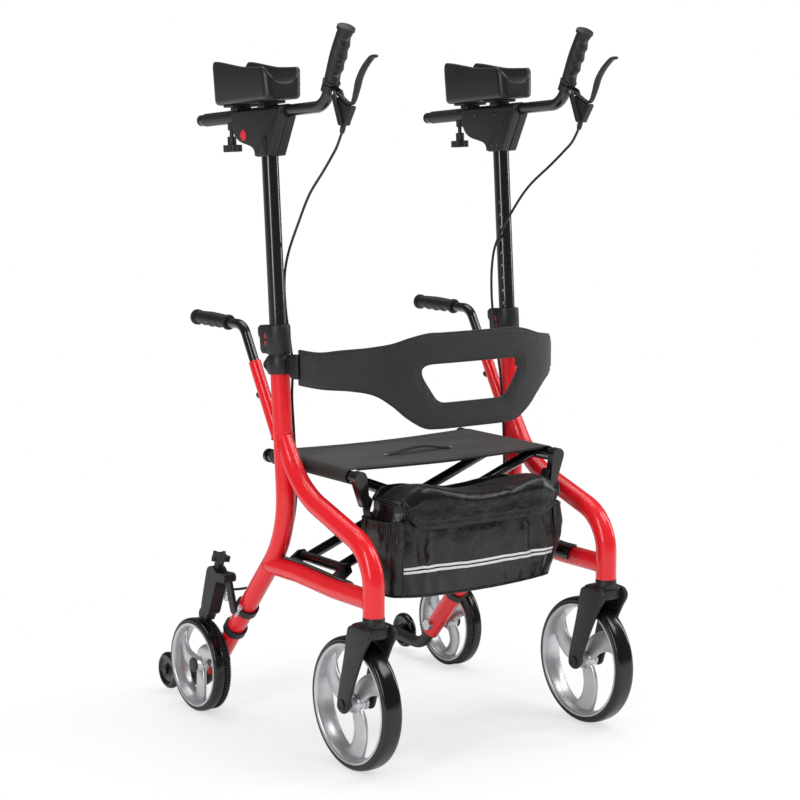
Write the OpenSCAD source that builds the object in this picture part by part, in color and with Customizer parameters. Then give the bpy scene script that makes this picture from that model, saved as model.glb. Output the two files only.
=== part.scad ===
// Upright walker: a folding four wheeled frame with raised forearm pads.
// Millimetres, +Z up, the front is -Y, and each side module draws the left side at +X.

/* [Side frame] */
// Half the distance between the two side frames
half_track = 272.5; // [250:0.5:300]
// Lean of the uprights toward the rear, in degrees
lean = 4.2; // [0:0.1:8]
// Height of the bend between an upright and its rear leg
knee_z = 400; // [380:1:420]
// Place of that bend along the walker
knee_y = -52; // [-70:1:-40]
// Centreline radius of that bend
knee_r = 200; // [140:5:240]
// Outside diameter of the upright and rear leg
leg_d = 37; // [35:0.5:40]
// Wall of the upright and rear leg
leg_wall = 2; // [1.5:0.25:3]
// Length of the straight upright above the bend
upright_len = 375; // [350:1:390]
// Outside diameter of the front leg
front_leg_d = 40; // [36:0.5:44]
// Wall of the front leg
front_leg_wall = 2.5; // [2:0.25:4]
// Outside diameter of the lower brace
brace_d = 38; // [32:0.5:40]
// Height of the brace where it meets the rear leg
brace_z = 331; // [315:1:345]
// Height where the front leg leaves the upright
front_leg_top_z = 592; // [560:1:620]

/* [Wheels] */
// Diameter of the front wheels
front_wheel_d = 250; // [220:1:270]
// Width of the front tyres
front_tyre_w = 40; // [30:1:44]
// Diameter of the rear wheels
rear_wheel_d = 188; // [170:1:210]
// Width of the rear tyres
rear_tyre_w = 36; // [28:1:40]
// Place of the caster stems along the walker
stem_y = -342; // [-360:1:-320]
// Distance from a caster stem back to its axle
trail = 57; // [40:1:70]
// Place of the rear axles along the walker
rear_axle_y = 220; // [200:1:240]
// Distance of the rear wheels' mid planes out from the side frames
rear_wheel_out = 38.5; // [37:0.5:52]
// Diameter of the small anti tip wheels
tip_wheel_d = 76; // [60:1:80]
// Place of the anti tip wheels along the walker
tip_wheel_y = 372; // [350:1:390]
// Height of the anti tip wheels' axles
tip_wheel_z = 45; // [42:1:60]

/* [Posts and forearm rests] */
// Outside diameter of the sliding posts
post_d = 32; // [30:0.5:32]
// Wall of the sliding posts
post_wall = 2; // [1.5:0.25:3]
// Height of the arm bars along the post axis, from the knee
bar_z = 795; // [780:1:820]
// Diameter of the arm bars
bar_d = 22; // [19:0.5:24]
// Diameter of the sleeves that hold the arm bars
sleeve_d = 25.4; // [24:0.1:28]
// Length of a forearm pad
pad_len = 198; // [180:1:220]
// Width of a forearm pad
pad_w = 84; // [76:1:100]
// Height of a forearm pad at its rear end
pad_h = 83; // [70:1:95]
// Diameter of the hand grips
grip_d = 34; // [30:0.5:38]
// Length of the hand grips
grip_len = 113; // [100:1:125]

/* [Folding seat] */
// Distance of the seat rails in from the side frames
rail_in = 40.5; // [37:0.5:50]
// Height of the seat rails
rail_z = 530; // [515:1:545]
// Diameter of the seat rails
rail_d = 22; // [18:0.5:24]
// Front ends of the seat rails
rail_front_y = -227; // [-235:1:-215]
// Rear ends of the seat rails
rail_rear_y = 72; // [55:1:85]
// Height of the lower fold hinges
hinge_z = 352; // [349:1:356]
// Diameter of the crossing tubes
cross_d = 20; // [16:0.5:22]
// Sag of the seat sling in the middle
sling_sag = 6; // [3:1:25]

/* [Soft parts] */
// Distance of the backrest's ends in from the side frames
back_in = 10.5; // [7:0.5:20]
// Depth of the backrest's curve from its ends to its middle
back_depth = 180; // [150:1:195]
// Thickness of the backrest in the middle
back_t = 10; // [6:0.5:14]
// Half width of the bag
bag_half_w = 200; // [180:1:210]
// Height of the bag's floor
bag_bottom_z = 310; // [300:1:330]
// Height of the bag's top
bag_top_z = 505; // [490:1:512]
// Depth of the bag at its top
bag_depth = 118; // [100:1:122]

/* [Hidden] */
SIDE_NODES = [
  "rear_leg", "front_leg", "fold_bracket", "post_collar", "height_lever", "rear_axle",
  "anti_tip_arm", "brake_mount", "post", "arm_bracket", "forearm_pad", "arm_bar",
  "hand_grip", "brake_bracket", "brake_lever", "clamp_knob", "caster_fork", "front_rim",
  "front_tyre", "rear_rim", "rear_tyre", "anti_tip_wheel", "push_handle", "push_grip",
  "brake_arm", "drag_knob", "brake_cable", "cross_frame"
];
$fn = 96;

// how far every cut runs past the face that it opens
overrun = 1;
// gap between faces of pieces that move on each other
clearance = 0.4;
// radial gap of a pin or shaft in its bore
running_fit = 0.05;
// how far a tube's straight lengths run into its bends
seam_lap = 0.6;
// how much thicker the bends are, all round
seam_step = 0.12;

// colours
red = [0.85, 0.05, 0.08];
gloss_black = [0.05, 0.05, 0.05];
plastic_black = [0.09, 0.09, 0.09];
rubber_black = [0.07, 0.07, 0.07];
silver = [0.78, 0.79, 0.8];
steel = [0.6, 0.6, 0.62];
cloth_black = [0.11, 0.11, 0.12];

// wheels
front_wheel_r = front_wheel_d / 2;
rear_wheel_r = rear_wheel_d / 2;
tip_wheel_r = tip_wheel_d / 2;
front_axle = [stem_y + trail, front_wheel_r];
rear_axle_at = [rear_axle_y, rear_wheel_r];
rear_wheel_x = half_track + rear_wheel_out;
tip_axle = [tip_wheel_y, tip_wheel_z];

// rear leg, all points are [y, z] in the side plane
knee = [knee_y, knee_z];
upright_dir = [sin(lean), cos(lean)];
leg_dir = (rear_axle_at - knee) / norm(rear_axle_at - knee);
upright_top = knee + upright_dir * upright_len;
leg_tail = 25;
leg_end = rear_axle_at + leg_dir * leg_tail;
rear_leg_path = [upright_top, knee, leg_end];
rear_leg_bends = [0, knee_r, 0];
leg_id = leg_d - 2 * leg_wall;
rear_axle_d = 12;
axle_head_t = 7;
axle_head_d = 22;
hub_recess = 4;
nut_t = 4;
rear_rim_in = rear_wheel_x - rear_tyre_w / 2;
rear_axle_in = half_track - leg_d / 2 - axle_head_t;
axle_out = rear_wheel_x + rear_tyre_w / 2 - hub_recess;

// front leg and brace
front_leg_end_z = 297;
front_leg_start = knee + upright_dir * (front_leg_top_z - knee_z) / upright_dir.y;
front_leg_bend_1 = [-100, 491];
front_leg_bend_2 = [stem_y, 412];
front_leg_path = [front_leg_start, front_leg_bend_1, front_leg_bend_2, [stem_y, front_leg_end_z]];
front_leg_bends = [0, 180, 90, 0];
front_leg_id = front_leg_d - 2 * front_leg_wall;
stem_plug_len = 44;
front_bore_path = [front_leg_start, front_leg_bend_1, front_leg_bend_2,
  [stem_y, front_leg_end_z + stem_plug_len]];
brace_start = knee + leg_dir * (brace_z - knee_z) / leg_dir.y;
brace_drop = 6;
brace_lift = 1;
brace_bend_1 = [-95, brace_z + brace_lift];
brace_bend_2 = [-215, brace_z - brace_drop];
brace_path = [brace_start, brace_bend_1, brace_bend_2, [stem_y, brace_z - brace_drop]];
brace_bends = [0, 260, 260, 0];
stem_d = 14;
stem_len = 40;

// socket and push handle
socket_lean = 31;
socket_dir = [sin(socket_lean), cos(socket_lean)];
socket_top = [62, 718];
socket_len = 158;
socket_d = 24;
push_d = 19;
push_corner = [103, 786];
push_bend_r = 35;
push_end_y = 284;
push_insert = 92;
push_bore_len = 116;
push_grip_d = 31;
push_grip_len = 127;
push_ribs = 12;
push_rib_share = 0.5;
push_path = [socket_top - socket_dir * push_insert, push_corner, [push_end_y, push_corner.y]];

// collar at the top of the upright, in the post frame
collar_r = 23.6;
collar_below = 31;
collar_above = 24;
collar_bottom = upright_len - collar_below;
collar_top = upright_len + collar_above;
clamp_gap = 4;
clamp_h = 34;
clamp_top = collar_bottom - clamp_gap;
clamp_bottom = clamp_top - clamp_h;
clamp_r = 23;
clamp_screw_d = 14;
collar_block_w = 28;
collar_block_back = 40;
lever_slot_w = 15;
lever_pin_back = 33;
lever_pin_drop = 11;
lever_pin = [lever_pin_back, collar_top - lever_pin_drop];
lever_pin_d = 4;
lever_knuckle_d = 12;
lever_paddle_back = 40;
lever_paddle_drop = 46;
lever_paddle = [lever_paddle_back, collar_top - lever_paddle_drop];
lever_paddle_d = 9;
back_lug_t = 7;
back_lug_len = 72;

// post and arm bracket, in the post frame
post_insert = 79;
post_bottom = upright_len - post_insert;
post_below_bar = 17;
post_top = bar_z - post_below_bar;
bracket_w = 38;
bracket_rise = 10;
bracket_drop = 81;
bracket_top = bar_z + bracket_rise;
bracket_bottom = bar_z - bracket_drop;
bracket_curve_low = [-4, 36];
bracket_curve_high = [-9, 11];
bracket_curve_steps = 10;
bracket_front = -72;
bracket_back = 104;
bracket_foot_front = -26;
bracket_foot_back = 24;
sleeve_front = -74;
sleeve_back = 230;
mount_places = [-14, 84];
mount_len = 26;
mount_w = 34;
pad_rise = 22;
pad_base = bar_z + pad_rise;
pad_front = -63;
pad_wall = 13;
pad_floor = 30;
pad_corner_r = 14;
pad_front_h = 60;
pad_mid_h = 66;
pad_curve_shares = [0.333, 0.5];
pad_curve_steps = 8;
knob_y = 136;
knob_boss_len = 25;
knob_boss_bottom = bar_z - knob_boss_len;
knob_boss_d = 14;
knob_stem_d = 8;
knob_gap = 12;
knob_neck_len = 16;
knob_head_len = 13;
knob_neck_top = knob_boss_bottom - knob_gap;
knob_head_top = knob_neck_top - knob_neck_len;
knob_head_bottom = knob_head_top - knob_head_len;
knob_neck_d = 17;
knob_head_d = 38;
knob_lobes = 5;

// arm bar, grip and brake lever, in the post frame
bar_back = 242;
bar_corner = [-196, bar_z];
bar_bend_r = 50;
bar_wall = 2;
grip_lean = 31;
grip_dir = [-sin(grip_lean), cos(grip_lean)];
grip_start = 45;
grip_waves = 4;
grip_wave_steps = 8;
grip_wave = 1.4;
grip_cap_len = 8;
clamp_ring_at = 36;
clamp_ring_d = 31;
clamp_ring_w = 14;
brake_pivot_off = [-41, 21];
brake_pivot = bar_corner + brake_pivot_off;
brake_lug_d = 11;
brake_pivot_d = 5;
brake_cheek_t = 4;
brake_gap_w = 12;
brake_foot_off = [-60, -31];
brake_foot = bar_corner + brake_foot_off;
brake_barrel_off = [-52, -49];
brake_barrel = bar_corner + brake_barrel_off;
brake_barrel_d = 9;
brake_barrel_len = 18.2;
brake_elbow_off = [-95, 5];
brake_elbow = bar_corner + brake_elbow_off;
brake_blade_mid_off = [-115, 38];
brake_blade_mid = bar_corner + brake_blade_mid_off;
brake_blade_out_off = [-150, 68];
brake_blade_out = bar_corner + brake_blade_out_off;
brake_tip_off = [-170, 77];
brake_tip = bar_corner + brake_tip_off;
brake_blade_w = 20;
brake_blade_t = 9;
brake_relief_d = 22.4;
brake_sweep_d = 42;
bar_path = [[bar_back, bar_z], bar_corner, bar_corner + grip_dir * (grip_start + grip_len - grip_cap_len)];

// caster fork
fork_gap = 50;
fork_leg_t = 8;
fork_half_w = fork_gap / 2 + fork_leg_t;
fork_crown_bottom = 257;
fork_crown_top = 281;
fork_crown_d = 60;
fork_foot_d = 32;
fork_crown_back = 10.7;
fork_collar_d = 41;
fork_shoulder = [stem_y + fork_crown_back, fork_crown_top - fork_crown_d / 2];
fork_axle_d = 10;
fork_cap_d = 22;
fork_cap_t = 3;
fork_spacer_d = 16;

// rims and tyres
rim_share = 0.895;
waist_share = 0.775;
front_rim_r = front_wheel_r * rim_share;
rear_rim_r = rear_wheel_r * rim_share;
rim_lip = 7;
spoke_count = 3;
front_hub_d = 42;
rear_hub_d = 38;
spoke_t = 9;
spoke_root_share = 0.3;
spoke_root_w_share = 0.8;
spoke_mid_shares = [0.62, 0.16];
spoke_mid_w_share = 0.3;
spoke_end_shares = [0.86, 0.42];
spoke_end_w_share = 0.22;
tyre_shoulder_share = 0.48;

// anti tip arm
tip_arm_d = 25;
tip_arm_bend = [272, 36];
tip_arm_r = 60;
tip_plug_len = 9;
tip_wheel_w = 18;
tip_wheel_out = 24.5;
tip_wheel_x = half_track + tip_wheel_out;
tip_pin_d = 8;
tip_cap_d = 16;
tip_wheel_in = tip_wheel_x - tip_wheel_w / 2;
tip_wheel_end = tip_wheel_x + tip_wheel_w / 2;
tip_boss_d = 27;
tip_boss_w = 24;

// rear brake on the leg
brake_out = 29.5;
brake_x = half_track + brake_out;
brake_arm_pivot = [122, 287];
brake_arm_pin_d = 6;
brake_block_top = [165, 284];
brake_block_bottom = [190, 216];
brake_block_w = 27;
brake_block_t = 40;
brake_block_low = 32;
brake_shoe_at = [207, 196];
brake_shoe_gap = 3;
brake_shoe_w = 20;
brake_shoe_span = 30;
brake_neck_d = 24;
brake_block_dir = unit(brake_block_top - brake_block_bottom);
brake_shoe_r = rear_wheel_r + brake_shoe_gap;
clamp_places = [-179, -112];
leg_clamp_w = 15;
leg_clamp_t = 5;
strut_t = 7;
strut_w = 18;
strut_boss_d = 12;
drag_stem_d = 8;
drag_hub_d = 19;
drag_hub_len = 16;
drag_star_d = 39;
drag_star_t = 11;
drag_star_points = 5;
drag_web_share = 1.3;
drag_stem_len = 26;

// folding cross
rail_x = half_track - rail_in;
rail_long = rail_rear_y - rail_front_y;
cross_rise = rail_z - hinge_z;
cross_half = norm([rail_x, cross_rise / 2]);
cross_angle = atan2(cross_rise / 2, rail_x);
cross_mid_z = (hinge_z + rail_z) / 2;
cross_a_places = [-60, -170];
cross_b_places = [-84, -146];
cross_pin_d = 9;
hinge_pin_d = 10;
hinge_tube_d = 20;
hinge_tube_front = -188;
hinge_tube_rear = -42;
hinge_ear_t = 7;
hinge_ear_d = 24;
eye_w = 20;
eye_rise = cross_d / 2 / cos(cross_angle);
saddle_front = -252;
saddle_rear = -28;
saddle_t = 4;
rail_cap_d = 27;
rail_cap_len = 16;
link_drop = 48;
link_d = 16;

// seat sling
sling_t = 3;
sling_front = -210;
sling_rear = 54;
sling_wrap_d = rail_d + 2 * clearance;
sling_steps = 24;
sling_top = rail_z + rail_d / 2 + clearance;
sling_half = rail_x - rail_d / 4;

// backrest
back_half_w = half_track - back_in;
back_y = -95;
back_power = 3;
back_tab = 22;
back_steps = 44;
back_z = knee.y + upright_dir.y * (clamp_bottom + clamp_top) / 2;
back_strap_below = 32;
back_strap_above = 35;
back_panel_drop = 62;
back_panel_rise = 28;
back_strap_bottom = back_z - back_strap_below;
back_strap_top = back_z + back_strap_above;
back_panel_bottom = back_strap_bottom - back_panel_drop;
back_panel_top = back_strap_top + back_panel_rise;
back_top_half = 150;
back_top_end = 205;
back_low_half = 100;
back_low_end = 185;
back_low_share = 0.8;
back_edge_steps = 8;
back_hole_below_top = 23;
back_hole_below_strap = 30;
back_hole_top = back_strap_top - back_hole_below_top;
back_hole_bottom = back_strap_bottom - back_hole_below_strap;
back_hole_top_half = 126;
back_hole_low_half = 80;
back_hole_r = 18;
back_hole_end = back_hole_top_half - back_hole_r;

// bag
bag_back_y = -198;
bag_t = 3;
bag_front_bulge = 14;
bag_side_pleat = 7;
bag_power = 5;
bag_steps = 48;
bag_levels = 9;
bag_foot_depth_share = 0.72;
bag_foot_w_share = 0.94;
bag_swell_share = 1.15;
bag_pleats = 2;
bag_pleat_power = 4;
lid_t = 3;
lid_hinge = [-240, bag_top_z + lid_t / 2 + clearance];
lid_front_y = -329;
lid_flap_z = 448;
lid_r = 12;

// brake cable
cable_d = 5;
cable_sides = 8;
// places along the brake cable, from the hand lever down to the rear brake, x from the side plane
cable_places = [
  [0, -243.8, 1159.7], [-1, -227, 1137], [-3.5, -208, 1120], [-8.5, -170, 1090], [-16.5, -110, 1045],
  [-22.5, -62, 990], [-26, -20, 930], [-26, -6, 880], [-27.5, -8, 820], [-29, -18, 770],
  [-29, -28, 720], [-23.6, -34, 660], [-23.1, -40, 600], [-23.1, -46, 520], [-23.1, -44, 450],
  [-23.1, -22, 392], [-23.1, 20, 345], [-22.8, 62, 297], [-20.5, 92, 272], [-4.5, 118, 262],
  [11.5, 138, 258], [22.5, 152, 257]
];
cable_route = [for (p = cable_places) p + [half_track, 0, 0]];

// small helpers for a bent rod in a plane
function unit(v) = v / norm(v);
function turn(a, b) = atan2(a.x * b.y - a.y * b.x, a * b);
function heading(p, i) = unit(p[i + 1] - p[i]);
function setback(p, r, i) = i == 0 || i == len(p) - 1
  ? 0
  : r[i] * tan(abs(turn(heading(p, i - 1), heading(p, i))) / 2);
function longer(p, by) = let (n = len(p) - 1) [for (i = [0:n])
  i == 0 ? p[0] - heading(p, 0) * by : i == n ? p[n] + heading(p, n - 1) * by : p[i]];
function bezier(a, b, c, d, n) = [for (i = [0:n]) let (t = i / n, u = 1 - t)
  a * u * u * u + 3 * b * u * u * t + 3 * c * u * t * t + d * t * t * t];

// straight lengths run a little way into each bend, which is a hair thicker
module bent_rod(p, r, d) {
  last = len(p) - 1;
  for (i = [0:last - 1]) {
    dir = heading(p, i);
    from = setback(p, r, i) - (i == 0 ? 0 : seam_lap);
    to = norm(p[i + 1] - p[i]) - setback(p, r, i + 1) + (i == last - 1 ? 0 : seam_lap);
    translate(p[i] + dir * from)
      rotate([0, 90, atan2(dir.y, dir.x)])
        cylinder(d = d, h = to - from);
  }
  for (i = [1:1:last - 1]) {
    a = heading(p, i - 1);
    b = heading(p, i);
    bend = turn(a, b);
    side = sign(bend);
    translate(p[i] - a * setback(p, r, i) + side * r[i] * [-a.y, a.x])
      rotate([0, 0, side > 0 ? atan2(-a.x, a.y) : atan2(b.x, -b.y)])
        rotate_extrude(angle = abs(bend))
          translate([r[i], 0])
            circle(d = d + 2 * seam_step);
  }
}

// a flat link between two round ends, as an outline
module strap(p, q, dp, dq) {
  across = norm(q - p);
  aim = atan2(q.y - p.y, q.x - p.x);
  open = acos((dp - dq) / 2 / across);
  function rim(c, d, s) = c + d / 2 * [cos(aim + s * open), sin(aim + s * open)];
  translate(p) circle(d = dp);
  translate(q) circle(d = dq);
  polygon([rim(p, dp, 1), rim(p, dp, -1), rim(q, dq, -1), rim(q, dq, 1)]);
}

// a square with round corners
module pane(w, h, r) {
  for (x = [-1, 1], y = [-1, 1])
    translate([x * (w / 2 - r), y * (h / 2 - r)]) circle(r = r);
  square([w, h - 2 * r], center = true);
  square([w - 2 * r, h], center = true);
}

module mirrored() mirror([1, 0, 0]) children();

// local x becomes +Y, local y becomes +Z and local z becomes +X, on the side plane
module side_plane(x = half_track) translate([x, 0, 0]) rotate([90, 0, 90]) children();

// the frame of the leaning post, with its origin at the knee
module post_frame() translate([half_track, knee_y, knee_z]) rotate([-lean, 0, 0]) children();

// an outline drawn as [y, z] in the post frame and made w thick about the post's plane
module post_slab(w, x = 0)
  post_frame() translate([x - w / 2, 0, 0]) rotate([90, 0, 90]) linear_extrude(w) children();

// a round bar across the side plane, from x0 to x1
module cross_bar(at, d, x0, x1)
  translate([x0, at.x, at.y]) rotate([0, 90, 0]) cylinder(d = d, h = x1 - x0);

// a bar along a [y, z] direction in the side plane
module aimed(at, dir, x = half_track)
  translate([x, at.x, at.y]) rotate([atan2(dir.y, dir.x) - 90, 0, 0]) children();

module rear_leg_outer() side_plane() bent_rod(rear_leg_path, rear_leg_bends, leg_d);
module brace_outer() side_plane() bent_rod(brace_path, brace_bends, brace_d);
module socket_outer() aimed(socket_top - socket_dir * socket_len, socket_dir)
  cylinder(d = socket_d, h = socket_len);

// the red upright and rear leg, one bent tube with the socket of the push handle
module rear_leg() color(red) difference() {
  union() {
    rear_leg_outer();
    socket_outer();
  }
  side_plane() bent_rod(longer(rear_leg_path, overrun), rear_leg_bends, leg_id);
  aimed(socket_top - socket_dir * push_bore_len, socket_dir)
    cylinder(d = push_d + 2 * clearance, h = push_bore_len + overrun);
  cross_bar(rear_axle_at, rear_axle_d, half_track - leg_d, half_track + leg_d);
}

// the red front leg with the lower brace, welded to the upright
module front_leg() color(red) difference() {
  union() {
    side_plane() bent_rod(front_leg_path, front_leg_bends, front_leg_d);
    brace_outer();
  }
  rear_leg_outer();
  side_plane() bent_rod(longer(front_bore_path, overrun), front_leg_bends, front_leg_id);
  translate([half_track, stem_y, front_leg_end_z - overrun])
    cylinder(d = stem_d + 2 * running_fit, h = stem_len + 2 * overrun);
}

// steel ears that carry the lower fold hinge, with the hinge pin
module fold_bracket() color(gloss_black) {
  difference() {
    union() {
      for (y = [hinge_tube_front - hinge_ear_t - clearance, hinge_tube_rear + clearance])
        translate([0, y + hinge_ear_t, 0]) rotate([90, 0, 0]) linear_extrude(hinge_ear_t)
          strap([rail_x, hinge_z], [half_track, brace_z], hinge_ear_d, brace_d + saddle_t);
      intersection() {
        side_plane() bent_rod(brace_path, brace_bends, brace_d + 2 * saddle_t);
        translate([half_track - brace_d, saddle_front, brace_z])
          cube([brace_d, saddle_rear - saddle_front, brace_d]);
      }
    }
    brace_outer();
    rear_leg_outer();
  }
  translate([rail_x, hinge_tube_rear + clearance, hinge_z]) rotate([90, 0, 0])
    cylinder(d = hinge_pin_d, h = hinge_tube_rear - hinge_tube_front + 2 * clearance);
}

// the moulded collar on the upright, its lever block and the backrest clamp
module post_collar() color(plastic_black) {
  post_frame() difference() {
    union() {
      translate([0, 0, collar_bottom]) cylinder(r = collar_r, h = collar_top - collar_bottom);
      translate([-collar_block_w / 2, 0, collar_bottom])
        cube([collar_block_w, collar_block_back, collar_top - collar_bottom]);
      translate([0, 0, clamp_bottom]) cylinder(r = clamp_r, h = collar_bottom - clamp_bottom);
      translate([back_half_w + clearance - half_track, -back_lug_len, clamp_bottom])
        cube([back_lug_t, back_lug_len, clamp_top - clamp_bottom]);
      translate([0, 0, (clamp_bottom + clamp_top) / 2]) rotate([-90, 0, 0])
        cylinder(d = clamp_screw_d, h = collar_block_back - strut_t);
    }
    cylinder(d = post_d + 2 * clearance, h = collar_top + overrun);
    cylinder(d = leg_d, h = upright_len);
    translate([-lever_slot_w / 2, collar_r + 2 * clearance, collar_bottom - overrun])
      cube([lever_slot_w, collar_block_back, collar_top - collar_bottom + 2 * overrun]);
  }
  post_frame() translate([-collar_block_w / 2, lever_pin.x, lever_pin.y]) rotate([0, 90, 0])
    cylinder(d = lever_pin_d, h = collar_block_w);
}

// the paddle that frees the post
module height_lever() color(plastic_black) difference() {
  post_slab(lever_slot_w - 2 * clearance)
    strap(lever_pin, lever_paddle, lever_knuckle_d, lever_paddle_d);
  post_slab(collar_block_w) translate(lever_pin) circle(d = lever_pin_d + 2 * running_fit);
}

// the bolt through the rear leg that the rear wheel turns on
module rear_axle() color(steel) {
  cross_bar(rear_axle_at, rear_axle_d, rear_axle_in + axle_head_t / 2, axle_out + nut_t);
  difference() {
    cross_bar(rear_axle_at, axle_head_d, rear_axle_in, rear_rim_in - clearance);
    rear_leg_outer();
  }
  cross_bar(rear_axle_at, axle_head_d - hub_recess, axle_out + clearance, axle_out + nut_t);
}

// the black arm out of the leg's end that carries the anti tip wheel
module anti_tip_arm() color(plastic_black) {
  side_plane() bent_rod([leg_end, tip_arm_bend, tip_axle], [0, tip_arm_r, 0], tip_arm_d);
  aimed(leg_end - leg_dir * tip_plug_len, leg_dir) cylinder(d = leg_id, h = tip_plug_len + leg_wall / 2);
  aimed(leg_end, leg_dir) cylinder(d = leg_d, h = leg_wall);
  cross_bar(tip_axle, tip_boss_d, half_track - tip_boss_w / 2, tip_wheel_in - clearance);
  cross_bar(tip_axle, tip_pin_d, half_track, tip_wheel_end + 2 * clearance);
  cross_bar(tip_axle, tip_cap_d, tip_wheel_end + clearance, tip_wheel_end + clearance + nut_t);
}

// a small solid wheel that keeps the walker from tipping back
module anti_tip_wheel() color(rubber_black)
  translate([tip_wheel_x, tip_axle.x, tip_axle.y]) rotate([0, 90, 0]) rotate_extrude()
    difference() {
      union() {
        translate([tip_wheel_r / 2, 0]) square([tip_wheel_r - tip_wheel_w / 2, tip_wheel_w], center = true);
        translate([tip_wheel_r - tip_wheel_w / 2, 0]) circle(d = tip_wheel_w);
      }
      translate([0, -tip_wheel_w]) square([tip_pin_d / 2 + running_fit, 2 * tip_wheel_w]);
    }

// two clamps on the rear leg and the strut that carries the brake
module brake_mount() color(plastic_black) {
  difference() {
    union() {
      for (s = clamp_places)
        aimed(rear_axle_at + leg_dir * (s - leg_clamp_w / 2), leg_dir)
          cylinder(d = leg_d + 2 * leg_clamp_t, h = leg_clamp_w);
      side_plane(brake_x - strut_t / 2) linear_extrude(strut_t)
        strap(rear_axle_at + leg_dir * clamp_places[0], brake_arm_pivot, strut_w, strut_w);
      cross_bar(rear_axle_at + leg_dir * clamp_places[0], strut_boss_d, half_track, brake_x);
    }
    rear_leg_outer();
  }
  cross_bar(brake_arm_pivot, brake_arm_pin_d, brake_x - brake_block_w / 2, brake_x + brake_block_w / 2);
}

// the sprung brake body with the shoe over the tyre
module brake_arm() color(plastic_black) difference() {
  union() {
    difference() {
      side_plane(brake_x - brake_block_w / 2) linear_extrude(brake_block_w) {
        strap(brake_block_top, brake_block_bottom, brake_block_t, brake_block_low);
        strap(brake_arm_pivot, brake_block_top, strut_w, strut_w);
      }
      side_plane(brake_x - strut_t / 2 - clearance) linear_extrude(strut_t + 2 * clearance)
        strap(rear_axle_at + leg_dir * clamp_places[0], brake_arm_pivot,
          2 * strut_w, strut_w + 2 * strut_t);
    }
    side_plane(brake_x - brake_shoe_w / 2) linear_extrude(brake_shoe_w)
      strap(brake_block_bottom, brake_shoe_at, brake_neck_d, brake_shoe_span);
  }
  cross_bar(rear_axle_at, 2 * brake_shoe_r, brake_x - brake_block_w, brake_x + brake_block_w);
  cross_bar(brake_arm_pivot, brake_arm_pin_d + 2 * running_fit, brake_x - brake_block_w,
    brake_x + brake_block_w);
  aimed(brake_block_top, brake_block_dir, brake_x) translate([0, 0, -drag_stem_len - overrun])
    cylinder(d = drag_stem_d + 2 * running_fit, h = drag_stem_len + brake_block_t);
}

// the star knob that sets the drag of the brake
module drag_knob() color(plastic_black)
  aimed(brake_block_top, brake_block_dir, brake_x) {
    translate([0, 0, -drag_stem_len])
      cylinder(d = drag_stem_d, h = drag_stem_len + brake_block_t / 2 + drag_hub_len);
    translate([0, 0, brake_block_t / 2 + clearance]) cylinder(d = drag_hub_d, h = drag_hub_len);
    translate([0, 0, brake_block_t / 2 + drag_hub_len]) linear_extrude(drag_star_t) {
      circle(d = drag_hub_d * drag_web_share);
      for (i = [0:drag_star_points - 1])
        rotate(i * 360 / drag_star_points)
          strap([0, 0], [(drag_star_d - strut_t) / 2, 0], drag_hub_d * waist_share, strut_t);
    }
  }

// the black tube that slides in the upright
module post() color(gloss_black) post_frame() translate([0, 0, post_bottom]) difference() {
  cylinder(d = post_d, h = post_top - post_bottom);
  translate([0, 0, -overrun])
    cylinder(d = post_d - 2 * post_wall, h = post_top - post_bottom + 2 * overrun);
}

// the outline of the arm bracket, with its curved rear edge
module bracket_outline() polygon(concat(
  [[bracket_front, bracket_top], [bracket_front, bar_z], [bracket_foot_front, bracket_bottom]],
  bezier([bracket_foot_back, bracket_bottom], [bracket_foot_back, bracket_bottom] + bracket_curve_low,
    [bracket_back, bracket_bottom] + bracket_curve_high, [bracket_back, bar_z - sleeve_d / 2],
    bracket_curve_steps),
  [[bracket_back, bracket_top]]
));

// two moulded halves on the post, the bar sleeve, the pad mounts and the knob boss
module arm_bracket() color(plastic_black) {
  difference() {
    post_slab(bracket_w) bracket_outline();
    post_frame() cylinder(d = post_d, h = post_top);
    post_frame() translate([0, sleeve_front - overrun, bar_z]) rotate([-90, 0, 0])
      cylinder(d = sleeve_d, h = sleeve_back - sleeve_front);
  }
  post_frame() difference() {
    union() {
      translate([0, sleeve_front, bar_z]) rotate([-90, 0, 0])
        cylinder(d = sleeve_d, h = sleeve_back - sleeve_front);
      translate([0, knob_y, knob_boss_bottom]) cylinder(d = knob_boss_d, h = bar_z - knob_boss_bottom);
      for (y = mount_places)
        translate([-mount_w / 2, y, bar_z]) cube([mount_w, mount_len, pad_base - bar_z]);
    }
    translate([0, sleeve_front - overrun, bar_z]) rotate([-90, 0, 0])
      cylinder(d = bar_d + 2 * clearance, h = sleeve_back - sleeve_front + 2 * overrun);
    translate([0, knob_y, knob_boss_bottom - overrun])
      cylinder(d = knob_stem_d + 2 * running_fit, h = bar_z - knob_boss_bottom);
  }
}

// a moulded trough for the forearm, with its walls swept up at the rear
module forearm_pad() color(rubber_black) intersection() {
  post_frame() translate([0, pad_front + pad_len, pad_base]) rotate([90, 0, 0])
    linear_extrude(pad_len) difference() {
      translate([0, pad_h / 2]) pane(pad_w, pad_h, pad_corner_r);
      translate([0, pad_floor + pad_w / 2 - pad_wall]) circle(d = pad_w - 2 * pad_wall);
      translate([-pad_w / 2 + pad_wall, pad_floor + pad_w / 2 - pad_wall])
        square([pad_w - 2 * pad_wall, pad_h]);
    }
  post_slab(pad_w) polygon(concat(
    [[pad_front, pad_base]],
    bezier([pad_front, pad_base + pad_front_h],
      [pad_front + pad_len * pad_curve_shares[0], pad_base + pad_front_h],
      [pad_front + pad_len * pad_curve_shares[1], pad_base + pad_mid_h],
      [pad_front + pad_len, pad_base + pad_h], pad_curve_steps),
    [[pad_front + pad_len, pad_base]]
  ));
}

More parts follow.
